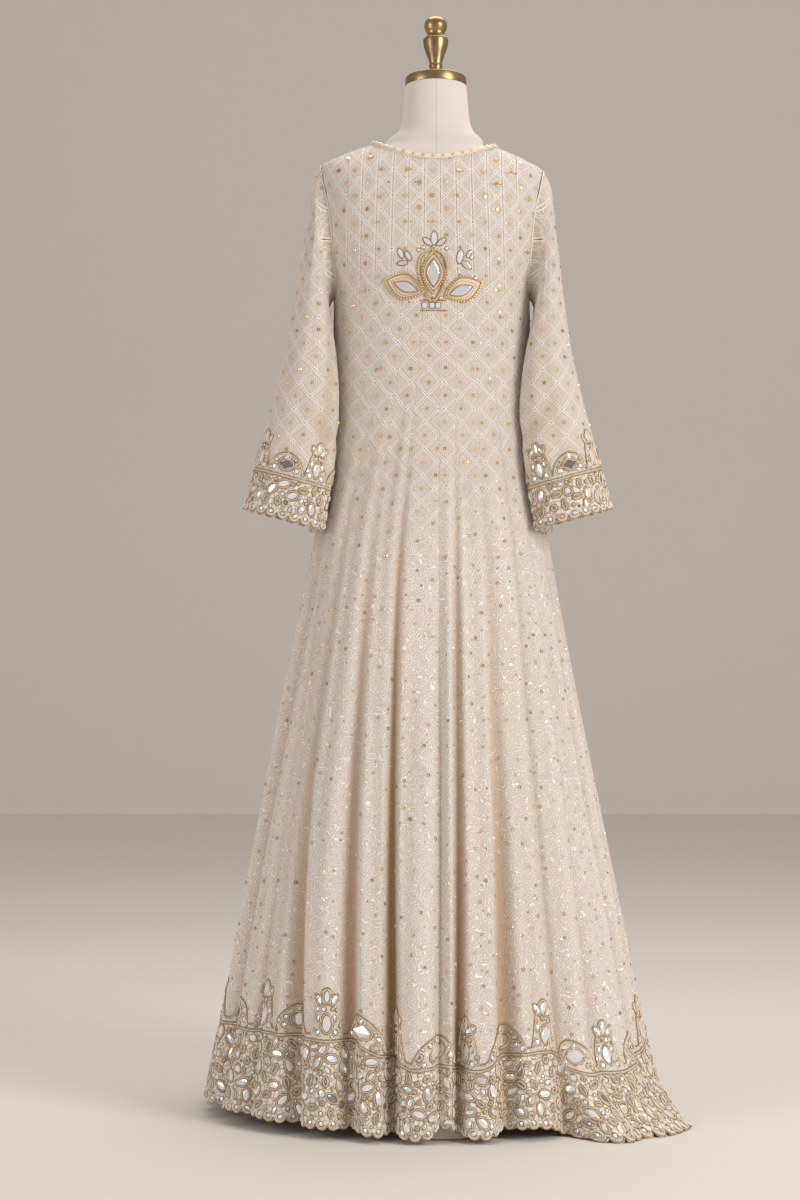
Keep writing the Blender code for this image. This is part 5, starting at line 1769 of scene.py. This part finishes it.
for shift, drop in ((-0.0100, -0.0400), (0.0, -0.0440), (0.0110, -0.0400), (-0.0230, 0.0330),
                    (0.0200, 0.0350), (-0.0160, 0.0370), (0.0580, 0.0220), (0.0640, -0.0100)):
    item = Item("round", motifX + shift, motifZ + drop, 0.0025, 0.0025, 0.0, 0.1)
    motifTrim.mirror(item)
    motifTrim.cord(*itemLine(item, 0.0006, 8), share=0.7)
motifTrim.build("motif")
beadX, beadZ = (np.concatenate(part) for part in zip(*beads))
points, outs, along = backSurface(beadX, beadZ, 0.0006)
count = len(beadX)
beadPlaces = [(points, outs, along, np.full((count, 3), 0.0019), np.linspace(0, 1, count) % 0.3)]
setWork("motifBeads", beadPlaces, shapes["bead"], finishes["sequin"])
print("motif made")

# The dress form, cap and finial.

FormSection = namedtuple("FormSection", "z halfWidth back front")
formWork = {
    "sides": 96,
    "lower": [FormSection(0.745, 0.128, 0.098, 0.100), FormSection(0.760, 0.138, 0.108, 0.110),
              FormSection(0.820, 0.148, 0.118, 0.116), FormSection(0.880, 0.150, 0.120, 0.114),
              FormSection(0.980, 0.128, 0.100, 0.098), FormSection(1.080, 0.113, 0.084, 0.088),
              FormSection(1.180, 0.128, 0.090, 0.098)],
    "body": (1.26, 1.32, 1.38, 1.425, 1.452, 1.472, 1.486, 1.496, 1.5025),
    "neck": [FormSection(1.5090, 0.0730, 0.0492, 0.0500), FormSection(1.5210, 0.0590, 0.0482, 0.0515),
             FormSection(1.5370, 0.0530, 0.0468, 0.0530), FormSection(1.5640, 0.0500, 0.0445, 0.0540),
             FormSection(1.5900, 0.0480, 0.0420, 0.0540)],
    "capRadius": 0.048, "capHeight": 0.016,
}


def loft(name, rings, material, values=None):
    rings = np.asarray(rings)
    count = rings.shape[1]
    points = rings.reshape(-1, 3).tolist()
    faces = ringFaces(len(rings), count)
    faces.append(tuple(range(count))[::-1])
    faces.append(tuple((len(rings) - 1) * count + i for i in range(count)))
    return makeMesh(name, points, faces, material, values=values)


formRows = list(formWork["lower"])
for z in formWork["body"]:
    sizes = [float(section(name, z)) - gown["formInset"] for name in ("halfWidth", "back", "front")]
    formRows.append(FormSection(z - gown["formDrop"] * (z > 1.44), *sizes))
formRows += formWork["neck"]
rowZ = np.array(column(formRows, "z"))
fineZ = np.concatenate([np.linspace(a, b, 5)[:-1] for a, b in zip(rowZ, rowZ[1:])] + [rowZ[-1:]])
fine = {name: smoothValue(rowZ, column(formRows, name), fineZ) for name in ("halfWidth", "back", "front")}
turn = np.linspace(0, 2 * np.pi, formWork["sides"], endpoint=False)
formRings = []
for index, z in enumerate(fineZ):
    power = float(section("roundness", z)) if gown["armpitZ"] <= z < 1.51 else 2.0
    shift = float(section("centreX", z)) if z < 1.51 else 0.0
    depth = np.where(np.sin(turn) < 0, fine["back"][index], fine["front"][index])
    x = fine["halfWidth"][index] * np.sign(np.cos(turn)) * np.abs(np.cos(turn)) ** (2 / power)
    y = depth * np.sign(np.sin(turn)) * np.abs(np.sin(turn)) ** (2 / power)
    middle = (fine["front"][index] - fine["back"][index]) / 2
    lean = np.clip((z - 1.53) / 0.06, 0, 1) * np.tan(gown["neckTilt"])
    fade = 1 - np.clip((z - 1.500) / 0.020, 0, 1)
    formRings.append(rolled(np.stack([x + shift, y, z - (y - middle) * lean], axis=-1), fade))
declare(loft("dressForm", formRings, finishes["form"]), ["form_torso"])

up = np.array([0.0, np.sin(gown["neckTilt"]), np.cos(gown["neckTilt"])])
neckTop = formWork["neck"][-1]
seat = np.array([0.0, (neckTop.front - neckTop.back) / 2, neckTop.z]) + up * gown["seamGap"]


def turned(name, profile, centre, material, slot, node, sides=64):
    turn = np.linspace(0, 2 * np.pi, sides, endpoint=False)
    tilt = gown["neckTilt"]
    rings = []
    for radius, height in profile:
        x, y = radius * np.cos(turn), radius * np.sin(turn)
        rings.append(np.stack([centre[0] + x, centre[1] + y * np.cos(tilt) + height * np.sin(tilt),
                               centre[2] + height * np.cos(tilt) - y * np.sin(tilt)], axis=-1))
    return declare(loft(name, rings, material), [node])


radius, height = formWork["capRadius"], formWork["capHeight"]
capProfile = [(radius - 0.0012, 0.0), (radius - 0.0003, 0.0004), (radius, 0.0012), (radius, height - 0.0022),
              (radius - 0.0004, height - 0.0009), (radius - 0.0018, height)]
turned("neckCap", capProfile, seat, finishes["brass"], "satin_brass", "neck_cap", 96)
finialProfile = [(0.0125, 0.0000), (0.0125, 0.0040), (0.0100, 0.0080), (0.0098, 0.0175), (0.0108, 0.0195),
                 (0.0100, 0.0225), (0.0108, 0.0270), (0.0199, 0.0600), (0.0196, 0.0625), (0.0140, 0.0690),
                 (0.0137, 0.0715), (0.0165, 0.0785), (0.0181, 0.0845), (0.0172, 0.0905), (0.0125, 0.0965),
                 (0.0040, 0.1000)]
profileR, profileH = np.array(finialProfile).T
fineH = np.unique(np.concatenate([np.linspace(a, b, 5) for a, b in zip(profileH, profileH[1:])]))
turned("finialKnob", list(zip(smoothValue(profileH, profileR, fineH), fineH)),
       seat + up * (height + gown["seamGap"]), finishes["brass"], "satin_brass", "finial")
for node in ("stand_base", "stand_pole"):
    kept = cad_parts[node]
    kept.data.materials.clear()
    kept.data.materials.append(finishes["stand"])
print("form made")

# Floor, light and camera.


def flatFinish(name, colour, roughness):
    return Finish(name, Base_Color=linear(*colour), Roughness=roughness).material


floor = makeMesh("floor", [(-9, -7, 0), (9, -7, 0), (9, 6, 0), (-9, 6, 0), (-9, 6, 9), (9, 6, 9)],
                 [(0, 1, 2, 3), (3, 2, 5, 4)], flatFinish("pale floor", (226, 221, 214), 0.75), smooth=False)
for vertex in floor.data.vertices:
    vertex.co.z -= 0.0004

world = bpy.data.worlds.new("pale studio")
world.use_nodes = True
world.node_tree.nodes["Background"].inputs["Color"].default_value = linear(236, 232, 228)
world.node_tree.nodes["Background"].inputs["Strength"].default_value = 0.55
bpy.context.scene.world = world


def addLight(name, place, aim, size, power, colour):
    data = bpy.data.lights.new(name, "AREA")
    data.shape, data.size, data.size_y = "RECTANGLE", size[0], size[1]
    data.energy, data.color = power, colour
    light = bpy.data.objects.new(name, data)
    bpy.context.collection.objects.link(light)
    light.location = place
    light.rotation_euler = (Vector(aim) - Vector(place)).to_track_quat("-Z", "Y").to_euler()


addLight("keySoft", (3.0, -2.8, 2.3), (0, 0, 0.85), (1.5, 2.2), 110, (1.0, 0.985, 0.97))
addLight("fillSoft", (-3.2, -2.0, 1.7), (0, 0, 0.8), (1.4, 2.0), 32, (1.0, 0.97, 0.94))
addLight("topSoft", (0.2, 0.8, 3.3), (0, 0, 1.0), (2.0, 2.0), 36, (1.0, 0.98, 0.95))

camera = bpy.data.objects.new("camera", bpy.data.cameras.new("camera"))
bpy.context.collection.objects.link(camera)
camera.location = (-0.056, -4.4, 0.79)
camera.rotation_euler = (np.pi / 2, 0, 0)
camera.data.lens, camera.data.sensor_width = 84.5, 36
camera.data.dof.use_dof = False
bpy.context.scene.camera = camera
bpy.context.scene.view_settings.view_transform = "Standard"
